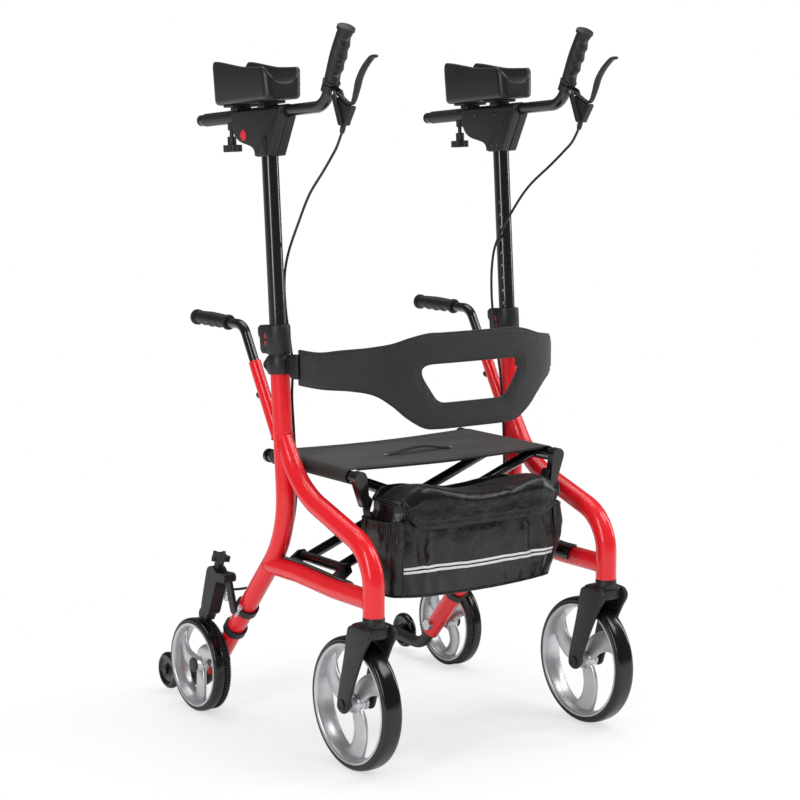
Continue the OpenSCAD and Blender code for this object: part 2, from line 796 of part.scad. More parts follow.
module bar_plane() post_frame() rotate([90, 0, 90]) children();
module grip_frame() bar_plane() translate(bar_corner) rotate([0, 90, 90 + grip_lean]) children();

// the bent bar that slides in the sleeve
module arm_bar() color(gloss_black) bar_plane() difference() {
  bent_rod(bar_path, [0, bar_bend_r, 0], bar_d);
  bent_rod(longer(bar_path, overrun), [0, bar_bend_r, 0], bar_d - 2 * bar_wall);
}

// the rubber grip, with finger waves along its length
module hand_grip() color(rubber_black) grip_frame() translate([0, 0, grip_start]) rotate_extrude()
  difference() {
    polygon(concat(
      [[0, 0]],
      [for (i = [0:grip_waves * grip_wave_steps]) let (t = i / grip_waves / grip_wave_steps)
        [grip_d / 2 - grip_wave * (1 - cos(360 * grip_waves * t)), t * (grip_len - grip_cap_len)]],
      [[grip_d / 2, grip_len], [0, grip_len]]
    ));
    translate([-overrun, -overrun]) square([bar_d / 2 + overrun, grip_len - grip_cap_len + overrun]);
  }

// the clamp, cheeks and cable barrel of the hand brake
module brake_bracket() color(plastic_black) {
  difference() {
    union() {
      grip_frame() translate([0, 0, clamp_ring_at - clamp_ring_w / 2])
        cylinder(d = clamp_ring_d, h = clamp_ring_w);
      difference() {
        post_slab(brake_gap_w + 2 * brake_cheek_t) {
          strap(bar_corner + grip_dir * clamp_ring_at, brake_pivot, brake_lug_d, brake_lug_d);
          strap(brake_pivot, brake_foot, brake_lug_d, clamp_ring_w);
        }
        post_slab(brake_gap_w) {
          strap(brake_pivot, brake_foot, brake_relief_d, brake_relief_d);
          strap(brake_pivot, brake_elbow, brake_relief_d, brake_sweep_d);
        }
      }
      post_frame() translate([0, brake_foot.x, brake_foot.y])
        rotate([180 - atan2(brake_foot.x - brake_barrel.x, brake_foot.y - brake_barrel.y), 0, 0])
          translate([0, 0, clamp_ring_w / 2 - brake_cheek_t])
            cylinder(d = brake_barrel_d, h = brake_barrel_len);
      post_slab(brake_gap_w + 2 * brake_cheek_t) translate(brake_foot) circle(d = clamp_ring_w * waist_share);
    }
    bar_plane() bent_rod(bar_path, [0, bar_bend_r, 0], bar_d);
  }
  post_slab(brake_gap_w + 2 * brake_cheek_t) translate(brake_pivot) circle(d = brake_pivot_d);
}

// the finger lever, from its pivot round the elbow to the tip
module brake_lever() color(plastic_black) difference() {
  union() {
    post_slab(brake_gap_w - 2 * clearance)
      strap(brake_pivot, brake_elbow, brake_lug_d - 2 * clearance, clamp_ring_w);
    post_slab(brake_blade_w) {
      strap(brake_elbow, brake_blade_mid, clamp_ring_w, brake_blade_t);
      strap(brake_blade_mid, brake_blade_out, brake_blade_t, brake_blade_t);
      strap(brake_blade_out, brake_tip, brake_blade_t, brake_blade_t);
    }
  }
  post_slab(brake_blade_w) translate(brake_pivot) circle(d = brake_pivot_d + 2 * running_fit);
}

// the lobed knob that locks the arm bar
module clamp_knob() color(plastic_black) post_frame() translate([0, knob_y, 0]) {
  translate([0, 0, knob_head_top]) cylinder(d = knob_stem_d, h = bar_z - bar_d - knob_head_top + strut_t);
  translate([0, 0, knob_head_top]) cylinder(d = knob_neck_d, h = knob_neck_top - knob_head_top);
  translate([0, 0, knob_head_bottom]) linear_extrude(knob_head_top - knob_head_bottom) {
    circle(d = knob_head_d * waist_share);
    for (i = [0:knob_lobes - 1])
      rotate(i * 360 / knob_lobes) translate([knob_head_d / 2 - strut_t, 0]) circle(r = strut_t);
  }
}

// the black caster fork with its stem, collar and axle
module caster_fork() color(plastic_black) {
  difference() {
    union() {
      translate([half_track, stem_y, fork_crown_top])
        cylinder(d = fork_collar_d, h = front_leg_end_z - clearance - fork_crown_top);
      translate([half_track, stem_y, fork_crown_top])
        cylinder(d = stem_d, h = stem_len + front_leg_end_z - fork_crown_top);
      translate([half_track, stem_y + fork_crown_back, fork_crown_bottom])
        linear_extrude(fork_crown_top - fork_crown_bottom)
          pane(fork_gap + 2 * fork_leg_t, fork_crown_d, fork_foot_d / 2);
      for (s = [-1, 1])
        side_plane(half_track + s * (fork_gap + fork_leg_t) / 2 - fork_leg_t / 2)
          linear_extrude(fork_leg_t) strap(fork_shoulder, front_axle, fork_crown_d, fork_foot_d);
    }
    translate([half_track - fork_gap / 2, stem_y - front_wheel_r, 0])
      cube([fork_gap, 2 * front_wheel_r, fork_crown_bottom]);
  }
  cross_bar(front_axle, fork_axle_d, half_track - fork_half_w, half_track + fork_half_w);
  for (x = [-fork_half_w - fork_cap_t, fork_half_w])
    cross_bar(front_axle, fork_cap_d, half_track + x, half_track + x + fork_cap_t);
  for (s = [-1, 1])
    cross_bar(front_axle, fork_spacer_d, half_track + s * (fork_gap / 2 - clearance) - clearance,
      half_track + s * (fork_gap / 2 - clearance) + clearance);
}

// a cast rim: hub, three swept spokes and a well for the tyre
module rim(r, w, hub_d, bore_d, spoke_out) {
  rotate_extrude() difference() {
    union() {
      translate([0, -w / 2]) square([hub_d / 2, w]);
      translate([r - rim_lip, -w / 2]) square([rim_lip, w]);
    }
    translate([0, -w]) square([bore_d / 2 + running_fit, 2 * w]);
  }
  for (i = [0:spoke_count - 1])
    rotate(i * 360 / spoke_count) translate([0, 0, spoke_out]) linear_extrude(spoke_t) difference() {
      union() {
        strap([hub_d * spoke_root_share, 0], r * spoke_mid_shares, hub_d * spoke_root_w_share,
          r * spoke_mid_w_share);
        strap(r * spoke_mid_shares, r * spoke_end_shares, r * spoke_mid_w_share, r * spoke_end_w_share);
      }
      circle(d = (bore_d + hub_d) / 2);
      difference() {
        circle(r = 2 * r);
        circle(r = r - rim_lip / 2);
      }
    }
}

// a rubber tyre on its rim
module tyre(r, rim_r, w) {
  shoulder = (r - rim_r) * tyre_shoulder_share;
  rotate_extrude() {
    translate([rim_r, -w / 2]) square([r - rim_r - shoulder, w]);
    translate([rim_r, -w / 2 + shoulder]) square([r - rim_r, w - 2 * shoulder]);
    for (s = [-1, 1])
      translate([r - shoulder, s * (w / 2 - shoulder)]) circle(r = shoulder);
  }
}

module front_wheel_place()
  translate([half_track, front_axle.x, front_axle.y]) rotate([0, 90, 0]) children();
module rear_wheel_place()
  translate([rear_wheel_x, rear_axle_at.x, rear_axle_at.y]) rotate([0, 90, 0]) children();

module front_rim() color(silver) front_wheel_place()
  rim(front_rim_r, front_tyre_w, front_hub_d, fork_axle_d, -spoke_t / 2);
module front_tyre() color(rubber_black) front_wheel_place() tyre(front_wheel_r, front_rim_r, front_tyre_w);
module rear_rim() color(silver) rear_wheel_place() {
  difference() {
    rim(rear_rim_r, rear_tyre_w, rear_hub_d, rear_axle_d, spoke_t / 2);
    translate([0, 0, rear_tyre_w / 2 - hub_recess]) cylinder(d = axle_head_d, h = 2 * hub_recess);
  }
}
module rear_tyre() color(rubber_black) rear_wheel_place() tyre(rear_wheel_r, rear_rim_r, rear_tyre_w);

// the short tube handle for pushing, in its socket
module push_handle() color(gloss_black) side_plane() bent_rod(push_path, [0, push_bend_r, 0], push_d);

// the ridged rubber grip on the push handle
module push_grip() color(rubber_black)
  translate([half_track, push_end_y - push_grip_len, push_corner.y]) rotate([-90, 0, 0])
    rotate_extrude() difference() {
      union() {
        square([push_grip_d / 2 - grip_wave, push_grip_len + nut_t]);
        for (i = [0:push_ribs - 1])
          translate([0, (i + push_rib_share / 2) * push_grip_len / push_ribs])
            square([push_grip_d / 2, push_grip_len / push_ribs * push_rib_share]);
      }
      translate([-overrun, -overrun]) square([push_d / 2 + overrun, push_grip_len + overrun]);
    }

// one half of the folding cross: a hinge tube at -X, two tubes, and the seat rail at +X
module cross_frame(places, own_pins) color(gloss_black) difference() {
  union() {
    translate([-rail_x, hinge_tube_rear, hinge_z]) rotate([90, 0, 0])
      cylinder(d = hinge_tube_d, h = hinge_tube_rear - hinge_tube_front);
    for (y = places)
      translate([-rail_x, y, hinge_z]) rotate([0, 90 - cross_angle, 0])
        cylinder(d = cross_d, h = 2 * cross_half);
    seat_rail();
    if (own_pins)
      for (i = [0, 1])
        translate([0, max(cross_a_places[i], cross_b_places[i]) + cross_d, cross_mid_z])
          rotate([90, 0, 0])
            cylinder(d = cross_pin_d, h = abs(cross_a_places[i] - cross_b_places[i]) + 2 * cross_d);
  }
  translate([-rail_x, hinge_tube_rear + overrun, hinge_z]) rotate([90, 0, 0])
    cylinder(d = hinge_pin_d + 2 * running_fit, h = hinge_tube_rear - hinge_tube_front + 2 * overrun);
  if (!own_pins)
    for (y = places)
      translate([0, y + cross_d, cross_mid_z]) rotate([90, 0, 0])
        cylinder(d = cross_pin_d + 2 * running_fit, h = 2 * cross_d);
}

// a seat rail with its rear cap and the hanging link at its front
module seat_rail() {
  translate([rail_x, rail_rear_y, rail_z]) rotate([90, 0, 0]) cylinder(d = rail_d, h = rail_long);
  translate([rail_x, rail_rear_y, rail_z]) rotate([-90, 0, 0])
    cylinder(d = rail_cap_d, h = rail_cap_len / 2);
  translate([rail_x, rail_front_y, rail_z]) rotate([90, 0, 0]) linear_extrude(rail_cap_len)
    strap([0, 0], [-rail_d / 2, -link_drop], rail_cap_d, link_d);
}

// the woven seat: a sagging sheet with a hem round each rail
function sling_line(up) = [for (i = [0:sling_steps]) let (u = 2 * i / sling_steps - 1)
  [u * sling_half, sling_top - sling_sag * (1 - u * u) + up]];
module seat_sling() color(cloth_black) difference() {
  translate([0, sling_rear, 0]) rotate([90, 0, 0]) linear_extrude(sling_rear - sling_front) {
    polygon(concat(sling_line(0), [for (i = [sling_steps:-1:0]) sling_line(sling_t)[i]]));
    for (s = [-1, 1])
      translate([s * rail_x, rail_z]) difference() {
        circle(d = sling_wrap_d + 2 * sling_t);
        circle(d = sling_wrap_d);
      }
  }
  for (s = [-1, 1], y = s > 0 ? cross_a_places : cross_b_places)
    translate([s * rail_x - (s > 0 ? sling_wrap_d : 0), y - eye_w / 2 - sling_t, rail_z - rail_d])
      cube([sling_wrap_d, eye_w + 2 * sling_t, rail_d + eye_rise]);
}

// the backrest's plan is half a superellipse
function back_plan(w, d) = concat([[-w, back_y + back_tab]],
  [for (i = [0:back_steps]) let (a = 180 + 180 * i / back_steps)
    [w * sign(cos(a)) * pow(abs(cos(a)), 2 / back_power), back_y - d * pow(abs(sin(a)), 2 / back_power)]],
  [[w, back_y + back_tab]]);
module backrest() color(cloth_black) difference() {
  intersection() {
    translate([0, 0, back_panel_bottom]) linear_extrude(back_panel_top - back_panel_bottom)
      polygon(concat(back_plan(back_half_w, back_depth),
        [for (i = [back_steps + 2:-1:0]) back_plan(back_half_w - back_t, back_depth - back_t)[i]]));
    translate([0, back_y + back_tab + overrun, 0]) rotate([90, 0, 0])
      linear_extrude(back_depth + back_tab + 2 * overrun)
      polygon(concat(
        bezier([-back_half_w, back_strap_top], [-back_top_end, back_strap_top],
          [-back_top_end, back_panel_top], [-back_top_half, back_panel_top], back_edge_steps),
        bezier([back_top_half, back_panel_top], [back_top_end, back_panel_top],
          [back_top_end, back_strap_top], [back_half_w, back_strap_top], back_edge_steps),
        bezier([back_half_w, back_strap_bottom], [back_low_end, back_strap_bottom],
          [back_low_end * back_low_share, back_panel_bottom], [back_low_half, back_panel_bottom],
          back_edge_steps),
        bezier([-back_low_half, back_panel_bottom], [-back_low_end * back_low_share, back_panel_bottom],
          [-back_low_end, back_strap_bottom], [-back_half_w, back_strap_bottom], back_edge_steps)
      ));
  }
  translate([0, back_y, 0]) rotate([90, 0, 0]) linear_extrude(2 * back_depth) {
    polygon([[-back_hole_top_half, back_hole_top - back_hole_r], [-back_hole_low_half, back_hole_bottom],
      [back_hole_low_half, back_hole_bottom], [back_hole_top_half, back_hole_top - back_hole_r],
      [back_hole_end, back_hole_top], [-back_hole_end, back_hole_top]]);
    for (s = [-1, 1])
      translate([s * back_hole_end, back_hole_top - back_hole_r]) circle(r = back_hole_r);
  }
}

// the bag is a loft of round cornered rings, with a slack front and pleated sides
function bag_ring(u, t) = let (
    z = bag_bottom_z + (bag_top_z - bag_bottom_z) * u,
    swell = sin(180 * min(1, u * bag_swell_share)),
    deep = bag_depth * (bag_foot_depth_share + (1 - bag_foot_depth_share) * u) / 2 - t,
    wide = bag_half_w * (bag_foot_w_share + (1 - bag_foot_w_share) * swell) - t
  ) [for (i = [0:bag_steps - 1]) let (
    a = 360 * i / bag_steps,
    c = sign(cos(a)) * pow(abs(cos(a)), 2 / bag_power),
    s = sign(sin(a)) * pow(abs(sin(a)), 2 / bag_power),
    front = max(0, -s),
    pleat = bag_side_pleat * swell * pow(abs(c), bag_pleat_power) * (1 + cos(360 * bag_pleats * s)) / 2
  ) [
    c * wide - sign(c) * pleat,
    bag_back_y - bag_depth / 2 + s * deep - front * bag_front_bulge * swell,
    z
  ]];
function bag_mean(p) = [for (k = [0:2]) [for (q = p) q[k]] * [for (q = p) 1] / len(p)];
module bag() color(cloth_black) {
  outer = [for (k = [0:bag_levels]) each bag_ring(k / bag_levels, 0)];
  inner = [for (k = [bag_levels:-1:0]) each [for (q = bag_ring(k / bag_levels, bag_t))
    [q.x, q.y, k == 0 ? q.z + bag_t : q.z]]];
  rows = 2 * (bag_levels + 1);
  low = len(outer) + len(inner);
  points = concat(outer, inner,
    [bag_mean(bag_ring(0, 0)), bag_mean(bag_ring(0, bag_t)) + [0, 0, bag_t]]);
  polyhedron(points, concat(
    [for (r = [0:rows - 2], i = [0:bag_steps - 1]) let (j = (i + 1) % bag_steps)
      each [[r * bag_steps + i, (r + 1) * bag_steps + i, (r + 1) * bag_steps + j],
        [r * bag_steps + i, (r + 1) * bag_steps + j, r * bag_steps + j]]],
    [for (i = [0:bag_steps - 1]) [low, i, (i + 1) % bag_steps]],
    [for (i = [0:bag_steps - 1]) let (b = (rows - 1) * bag_steps) [low + 1, b + (i + 1) % bag_steps, b + i]]
  ));
}

// the lid flap that folds over the bag's top and front
module bag_lid() color(cloth_black) translate([-bag_half_w, 0, 0]) rotate([90, 0, 90])
  linear_extrude(2 * bag_half_w) {
    translate(lid_hinge) circle(d = lid_t);
    translate([lid_front_y + lid_r, lid_hinge.y - lid_t / 2])
      square([lid_hinge.x - lid_front_y - lid_r, lid_t]);
    translate([lid_front_y + lid_r, lid_hinge.y + lid_t / 2 - lid_r]) intersection() {
      difference() {
        circle(r = lid_r);
        circle(r = lid_r - lid_t);
      }
      translate([-lid_r, 0]) square(lid_r);
    }
    translate([lid_front_y, lid_flap_z])
      square([lid_t, lid_hinge.y + lid_t / 2 - lid_r - lid_flap_z]);
  }

function tangent(p, i) = unit(p[min(i + 1, len(p) - 1)] - p[max(i - 1, 0)]);
module brake_cable() color(rubber_black) {
  n = len(cable_route);
  rings = [for (i = [0:n - 1]) let (
      t = tangent(cable_route, i),
      u = unit(cross(t, [1, 0, 0])),
      v = cross(t, u)
    ) each [for (k = [0:cable_sides - 1]) let (a = 360 * k / cable_sides)
      cable_route[i] + cable_d / 2 * (cos(a) * u + sin(a) * v)]];
  polyhedron(concat(rings, [cable_route[0], cable_route[n - 1]]), concat(
    [for (i = [0:n - 2], k = [0:cable_sides - 1]) let (
        j = (k + 1) % cable_sides,
        a = i * cable_sides,
        b = a + cable_sides
      ) each [[a + k, b + j, b + k], [a + k, a + j, b + j]]],
    [for (k = [0:cable_sides - 1]) [n * cable_sides, (k + 1) % cable_sides, k]],
    [for (k = [0:cable_sides - 1]) let (b = (n - 1) * cable_sides)
      [n * cable_sides + 1, b + k, b + (k + 1) % cable_sides]]
  ));
}

module side_part(name) {
  if (name == "rear_leg") rear_leg();
  if (name == "front_leg") front_leg();
  if (name == "fold_bracket") fold_bracket();
  if (name == "post_collar") post_collar();
  if (name == "height_lever") height_lever();
  if (name == "rear_axle") rear_axle();
  if (name == "anti_tip_arm") anti_tip_arm();
  if (name == "brake_mount") brake_mount();
  if (name == "post") post();
  if (name == "arm_bracket") arm_bracket();
  if (name == "forearm_pad") forearm_pad();
  if (name == "arm_bar") arm_bar();
  if (name == "hand_grip") hand_grip();
  if (name == "brake_bracket") brake_bracket();
  if (name == "brake_lever") brake_lever();
  if (name == "clamp_knob") clamp_knob();
  if (name == "caster_fork") caster_fork();
  if (name == "front_rim") front_rim();
  if (name == "front_tyre") front_tyre();
  if (name == "rear_rim") rear_rim();
  if (name == "rear_tyre") rear_tyre();
  if (name == "anti_tip_wheel") anti_tip_wheel();
  if (name == "push_handle") push_handle();
  if (name == "push_grip") push_grip();
  if (name == "brake_arm") brake_arm();
  if (name == "drag_knob") drag_knob();
  if (name == "brake_cable") brake_cable();
}

for (n = SIDE_NODES) {
  side_part(n);
  mirrored() side_part(n);
}
cross_frame(cross_a_places, true);  // right_cross_frame
mirrored() cross_frame(cross_b_places, false);  // left_cross_frame
seat_sling();
backrest();
bag();
bag_lid();
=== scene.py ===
import math

import bmesh
import bpy
import numpy as np
from mathutils import Matrix, Vector, noise
from mathutils.geometry import delaunay_2d_cdt


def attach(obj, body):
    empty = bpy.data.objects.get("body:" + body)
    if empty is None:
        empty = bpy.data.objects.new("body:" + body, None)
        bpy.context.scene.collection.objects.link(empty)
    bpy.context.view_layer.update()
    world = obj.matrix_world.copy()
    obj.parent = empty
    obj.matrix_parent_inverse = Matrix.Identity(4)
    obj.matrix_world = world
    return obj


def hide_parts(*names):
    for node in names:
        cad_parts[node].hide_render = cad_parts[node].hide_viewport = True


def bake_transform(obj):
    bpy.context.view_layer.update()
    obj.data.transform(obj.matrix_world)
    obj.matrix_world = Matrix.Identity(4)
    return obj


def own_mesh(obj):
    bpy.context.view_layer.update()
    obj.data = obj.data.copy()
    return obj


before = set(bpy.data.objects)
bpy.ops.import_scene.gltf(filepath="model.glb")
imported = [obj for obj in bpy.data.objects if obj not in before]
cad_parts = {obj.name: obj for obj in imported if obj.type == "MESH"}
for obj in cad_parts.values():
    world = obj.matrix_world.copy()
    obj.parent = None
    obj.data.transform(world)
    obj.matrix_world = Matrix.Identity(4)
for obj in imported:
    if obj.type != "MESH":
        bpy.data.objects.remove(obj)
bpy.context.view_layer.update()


# Studio: a pale floor that fades to white, a white room and four soft lamps.
# The lamps are long panels, because polished tube shows them as the clean streaks of a
# product picture. The camera stands where the walker's front right corner comes first.
scene = bpy.context.scene
scene.view_settings.view_transform = "Standard"


def srgb(code):
    """A hex colour as linear red, green, blue and alpha."""
    parts = [int(code[k:k + 2], 16) / 255 for k in (1, 3, 5)]
    linear = [p / 12.92 if p <= 0.04045 else ((p + 0.055) / 1.055) ** 2.4 for p in parts]
    return (*linear, 1.0)


def add_node(tree, kind, inputs=None, **settings):
    """One node with its settings, each input a value or a link from another node's output."""
    made = tree.nodes.new(kind)
    for key, value in settings.items():
        setattr(made, key, value)
    for socket, value in (inputs or {}).items():
        if isinstance(value, bpy.types.NodeSocket):
            tree.links.new(value, made.inputs[socket])
        else:
            made.inputs[socket].default_value = value
    return made


def new_material(name):
    """An empty surface with its node tree and its shader."""
    made = bpy.data.materials.new(name)
    made.use_nodes = True
    return made, made.node_tree, made.node_tree.nodes["Principled BSDF"]


floor_mesh = bpy.data.meshes.new("studio_floor")
floor_mesh.from_pydata([(-30, -30, 0), (30, -30, 0), (30, 30, 0), (-30, 30, 0)], [], [(0, 1, 2, 3)])
floor = bpy.data.objects.new("studio_floor", floor_mesh)
scene.collection.objects.link(floor)
# matt white card near the object, which keeps the shadow, and plain white further out
card, tree, shader = new_material("studio_white_card")
shader.inputs["Base Color"].default_value = srgb("#f4f4f4")
shader.inputs["Roughness"].default_value = 0.9
shader.inputs["Specular IOR Level"].default_value = 0.1
place = add_node(tree, "ShaderNodeTexCoord")
reach = add_node(tree, "ShaderNodeVectorMath", {0: place.outputs["Object"]}, operation="LENGTH")
fade = add_node(tree, "ShaderNodeMapRange", {
    "Value": reach.outputs["Value"], "From Min": 0.25, "From Max": 1.35, "To Min": 0.6},
    interpolation_type="SMOOTHSTEP")
path_kind = add_node(tree, "ShaderNodeLightPath")
shown = add_node(tree, "ShaderNodeMath", {
    0: fade.outputs["Result"], 1: path_kind.outputs["Is Camera Ray"]}, operation="MULTIPLY")
white = add_node(tree, "ShaderNodeEmission", {"Color": (1, 1, 1, 1), "Strength": 1.0})
mixed = add_node(tree, "ShaderNodeMixShader", {
    0: shown.outputs["Value"], 1: shader.outputs["BSDF"], 2: white.outputs["Emission"]})
tree.links.new(mixed.outputs["Shader"], tree.nodes["Material Output"].inputs["Surface"])
floor_mesh.materials.append(card)

room = bpy.data.worlds.new("white_room")
scene.world = room
room.use_nodes = True
tree = room.node_tree
path_kind = add_node(tree, "ShaderNodeLightPath")
seen = add_node(tree, "ShaderNodeMath", {
    0: path_kind.outputs["Is Camera Ray"], 1: path_kind.outputs["Is Transmission Ray"]},
    operation="MAXIMUM")
# a dim room in reflections keeps black surfaces black, and the lamps draw their streaks
dim = add_node(tree, "ShaderNodeMapRange", {
    "Value": path_kind.outputs["Is Glossy Ray"], "To Min": 0.6, "To Max": 0.15})
level = add_node(tree, "ShaderNodeMath", {
    0: dim.outputs["Result"], 1: seen.outputs["Value"]}, operation="MAXIMUM")
tree.links.new(level.outputs["Value"], tree.nodes["Background"].inputs["Strength"])
tree.nodes["Background"].inputs["Color"].default_value = (1, 1, 1, 1)

for name, spot, size, watts in (
        ("panel_left", (-3.2, -1.6, 2.0), (0.7, 2.6), 52),
        ("panel_right", (3.3, -0.9, 1.9), (0.5, 2.4), 34),
        ("panel_front", (1.4, -1.8, 3.2), (1.6, 1.2), 32),
        ("panel_top", (0.2, 0.6, 3.6), (2.2, 2.2), 42)):
    lamp = bpy.data.lights.new(name, "AREA")
    lamp.shape = "RECTANGLE"
    lamp.size, lamp.size_y = size
    lamp.energy = watts
    lamp_object = bpy.data.objects.new(name, lamp)
    scene.collection.objects.link(lamp_object)
    aim = (Vector((0, 0, 0.65)) - Vector(spot)).to_track_quat("-Z", "Y")
    lamp_object.matrix_world = Matrix.Translation(spot) @ aim.to_matrix().to_4x4()

view_from, view_to = Vector((-2.471, -3.567, 1.252)), Vector((0.0, -0.035, 0.633))
eye = bpy.data.cameras.new("photo_camera")
eye.sensor_width = 36.0
eye.lens = 99.98
eye_object = bpy.data.objects.new("photo_camera", eye)
eye_object.matrix_world = (Matrix.Translation(view_from)
                           @ (view_to - view_from).to_track_quat("-Z", "Y").to_matrix().to_4x4())
scene.collection.objects.link(eye_object)
scene.camera = eye_object


# Brake cables: steel wire in a black plastic sheath, 5 mm thick. Each leaves the barrel of a
# hand brake, sweeps down to the post and runs down the upright and the leg to the rear brake.
# The cable is drawn in an upper and a lower length.
SIDES = (("right", -1), ("left", 1))
mm = 0.001
cable_d = 5.0
cable_route = [
    (272.5, -246, 1164), (271.5, -227, 1137), (269, -208, 1120), (264, -170, 1090), (256, -110, 1045),
    (250, -62, 990), (246.5, -20, 930), (246.5, -6, 880), (245, -8, 820), (243.5, -18, 770),
    (243.5, -28, 720), (248.9, -34, 660), (249.4, -40, 600), (249.4, -46, 520), (249.4, -44, 450),
    (249.4, -22, 392), (249.4, 20, 345), (249.7, 62, 297), (252, 92, 272), (268, 118, 262),
    (284, 138, 258), (295, 152, 257)]
cable_steps = 6
cable_join = 6 * cable_steps


def smooth_line(points, steps, closed=False):
    """A curve through the points, with some steps between each two."""
    p = np.array(points, float)
    if closed:
        p = np.vstack([p[-1:], p, p[:2]])
    else:
        p = np.vstack([2 * p[0] - p[1], p, 2 * p[-1] - p[-2]])
    out = []
    for a, b, c, d in zip(p, p[1:], p[2:], p[3:]):
        for t in np.arange(steps) / steps:
            out.append(0.5 * (2 * b + (c - a) * t + (2 * a - 5 * b + 4 * c - d) * t ** 2
                              + (3 * b - a - 3 * c + d) * t ** 3))
    return np.array(out if closed else out + [p[-2]])


def steps_of(line):
    """The distance from each point of a line to the next."""
    return np.linalg.norm(np.diff(line, axis=0), axis=1)


def run_of(line):
    """The distance of each point of a line from its start, along the line."""
    return np.concatenate([[0], np.cumsum(steps_of(line))])


def wall(rows, n, around=True, closed=False):
    """Faces between rows of n points: round each row, and from the last row to the first if closed."""
    faces = []
    for k in range(rows if closed else rows - 1):
        a, b = k * n, (k + 1) % rows * n
        for j in range(n if around else n - 1):
            i = (j + 1) % n
            faces.append((a + j, a + i, b + i, b + j))
    return faces


def capped(rows, n):
    """A wall of rows of n points with both its ends closed."""
    return wall(rows, n) + [tuple(reversed(range(n))), tuple(range((rows - 1) * n, rows * n))]


def tube(line, radius, sides=12, closed=False, flat=1.0, up=None):
    """Points, faces and a UV for each point of a round or flattened tube along a line."""
    line = np.array(line, float)
    n = len(line)
    ahead = np.roll(line, -1, axis=0) - np.roll(line, 1, axis=0)
    if not closed:
        ahead[0], ahead[-1] = line[1] - line[0], line[-1] - line[-2]
    ahead /= np.linalg.norm(ahead, axis=1)[:, None]
    radii = np.broadcast_to(np.asarray(radius, float), (n,))
    run = run_of(line)
    side = np.array((1.0, 0.0, 0.0))
    if abs(side @ ahead[0]) > 0.95:
        side = np.array((0.0, 0.0, 1.0))
    verts, uvs = [], []
    for k in range(n):
        if up:
            side = np.array(up, float)
        side = side - (side @ ahead[k]) * ahead[k]
        side /= np.linalg.norm(side)
        other = np.cross(ahead[k], side)
        for j in range(sides):
            a = 2 * math.pi * j / sides
            verts.append(line[k] + radii[k] * (math.cos(a) * side + flat * math.sin(a) * other))
            uvs.append((run[k], j / sides))
    return verts, wall(n, sides, closed=True) if closed else capped(n, sides), uvs


def joined(*shapes):
    """Several shapes as one list of points, faces and UVs."""
    verts, faces, uvs = [], [], []
    for shape in shapes:
        start = len(verts)
        verts.extend(shape[0])
        faces.extend(tuple(i + start for i in face) for face in shape[1])
        uvs.extend(shape[2] or [(0.0, 0.0)] * len(shape[0]))
    return verts, faces, uvs


def new_piece(name, shape, material, sign=1, sharp=40.0):
    """An object at the origin from a shape in millimetres on the left side, or its mirror image."""
    verts = np.array(shape[0], float) * mm
    verts[:, 0] *= sign
    data = bpy.data.meshes.new(name)
    data.from_pydata([tuple(v) for v in verts], [], [tuple(f) for f in shape[1]])
    if shape[2]:
        layer = data.uv_layers.new(name="pattern")
        corner = np.zeros(len(data.loops), int)
        data.loops.foreach_get("vertex_index", corner)
        layer.data.foreach_set("uv", np.array(shape[2], np.float32)[corner].ravel())
    build = bmesh.new()
    build.from_mesh(data)
    bmesh.ops.recalc_face_normals(build, faces=build.faces)
    build.to_mesh(data)
    build.free()
    data.materials.append(material)
    return smooth_object(name, data, sharp)


def smooth_object(name, data, sharp):
    """An object of a mesh, shaded smooth up to an angle in degrees."""
    data.polygons.foreach_set("use_smooth", [True] * len(data.polygons))
    data.set_sharp_from_angle(angle=math.radians(sharp))
    made = bpy.data.objects.new(name, data)
    scene.collection.objects.link(made)
    return made


def pattern(material, kind, size, detail=None, **settings):
    """The grey output of a texture with features of about a size in metres."""
    tree = material.node_tree
    place = add_node(tree, "ShaderNodeTexCoord")
    inputs = {"Vector": place.outputs["Object"], "Scale": 1 / size}
    if detail:
        inputs["Detail"] = detail
    made = add_node(tree, "ShaderNodeTex" + kind, inputs, **settings)
    return made.outputs["Distance" if kind == "Voronoi" else "Fac"]


def relief(material, height, strength, depth, over=None):
    """Gives a material a relief from a grey output, over an earlier normal if there is one."""
    tree = material.node_tree
    made = add_node(tree, "ShaderNodeBump", {"Height": height, "Strength": strength, "Distance": depth})
    if over:
        tree.links.new(over, made.inputs["Normal"])
    tree.links.new(made.outputs["Normal"], tree.nodes["Principled BSDF"].inputs["Normal"])
    return made.outputs["Normal"]


def toned(material, share, dark, light):
    """Colours a material between two tones by a grey output."""
    tree = material.node_tree
    tone = add_node(tree, "ShaderNodeMix", {0: share, 6: dark, 7: light}, data_type="RGBA")
    tree.links.new(tone.outputs[2], tree.nodes["Principled BSDF"].inputs["Base Color"])


def surface(name, patch, dark, light, rough, fixed=None):
    """A material with its tone between two colours, in patches of a size and a detail.

    The roughness is one value, or a pair that it goes between with the tone. Other sockets are fixed.
    """
    made, tree, shader = new_material(name)
    for socket, value in (fixed or {}).items():
        shader.inputs[socket].default_value = value
    share = pattern(made, "Noise", *patch)
    toned(made, share, dark, light)
    if isinstance(rough, tuple):
        gloss = add_node(tree, "ShaderNodeMapRange", {
            "Value": share, "To Min": rough[0], "To Max": rough[1]})
        tree.links.new(gloss.outputs["Result"], shader.inputs["Roughness"])
    else:
        shader.inputs["Roughness"].default_value = rough
    return made


# extruded PVC sheath: deep black with a low, slightly uneven gloss
sheath = surface("extruded_black_sheath", (0.012, 3.0), srgb("#0a0a0b"), srgb("#151516"), (0.28, 0.42))
# zinc plated steel: bright grey with fine drawn lines
plated_steel = surface(
    "zinc_plated_steel", (0.004, 4.0), srgb("#a4a6a9"), srgb("#cfd1d3"), (0.2, 0.38), {"Metallic": 1.0})

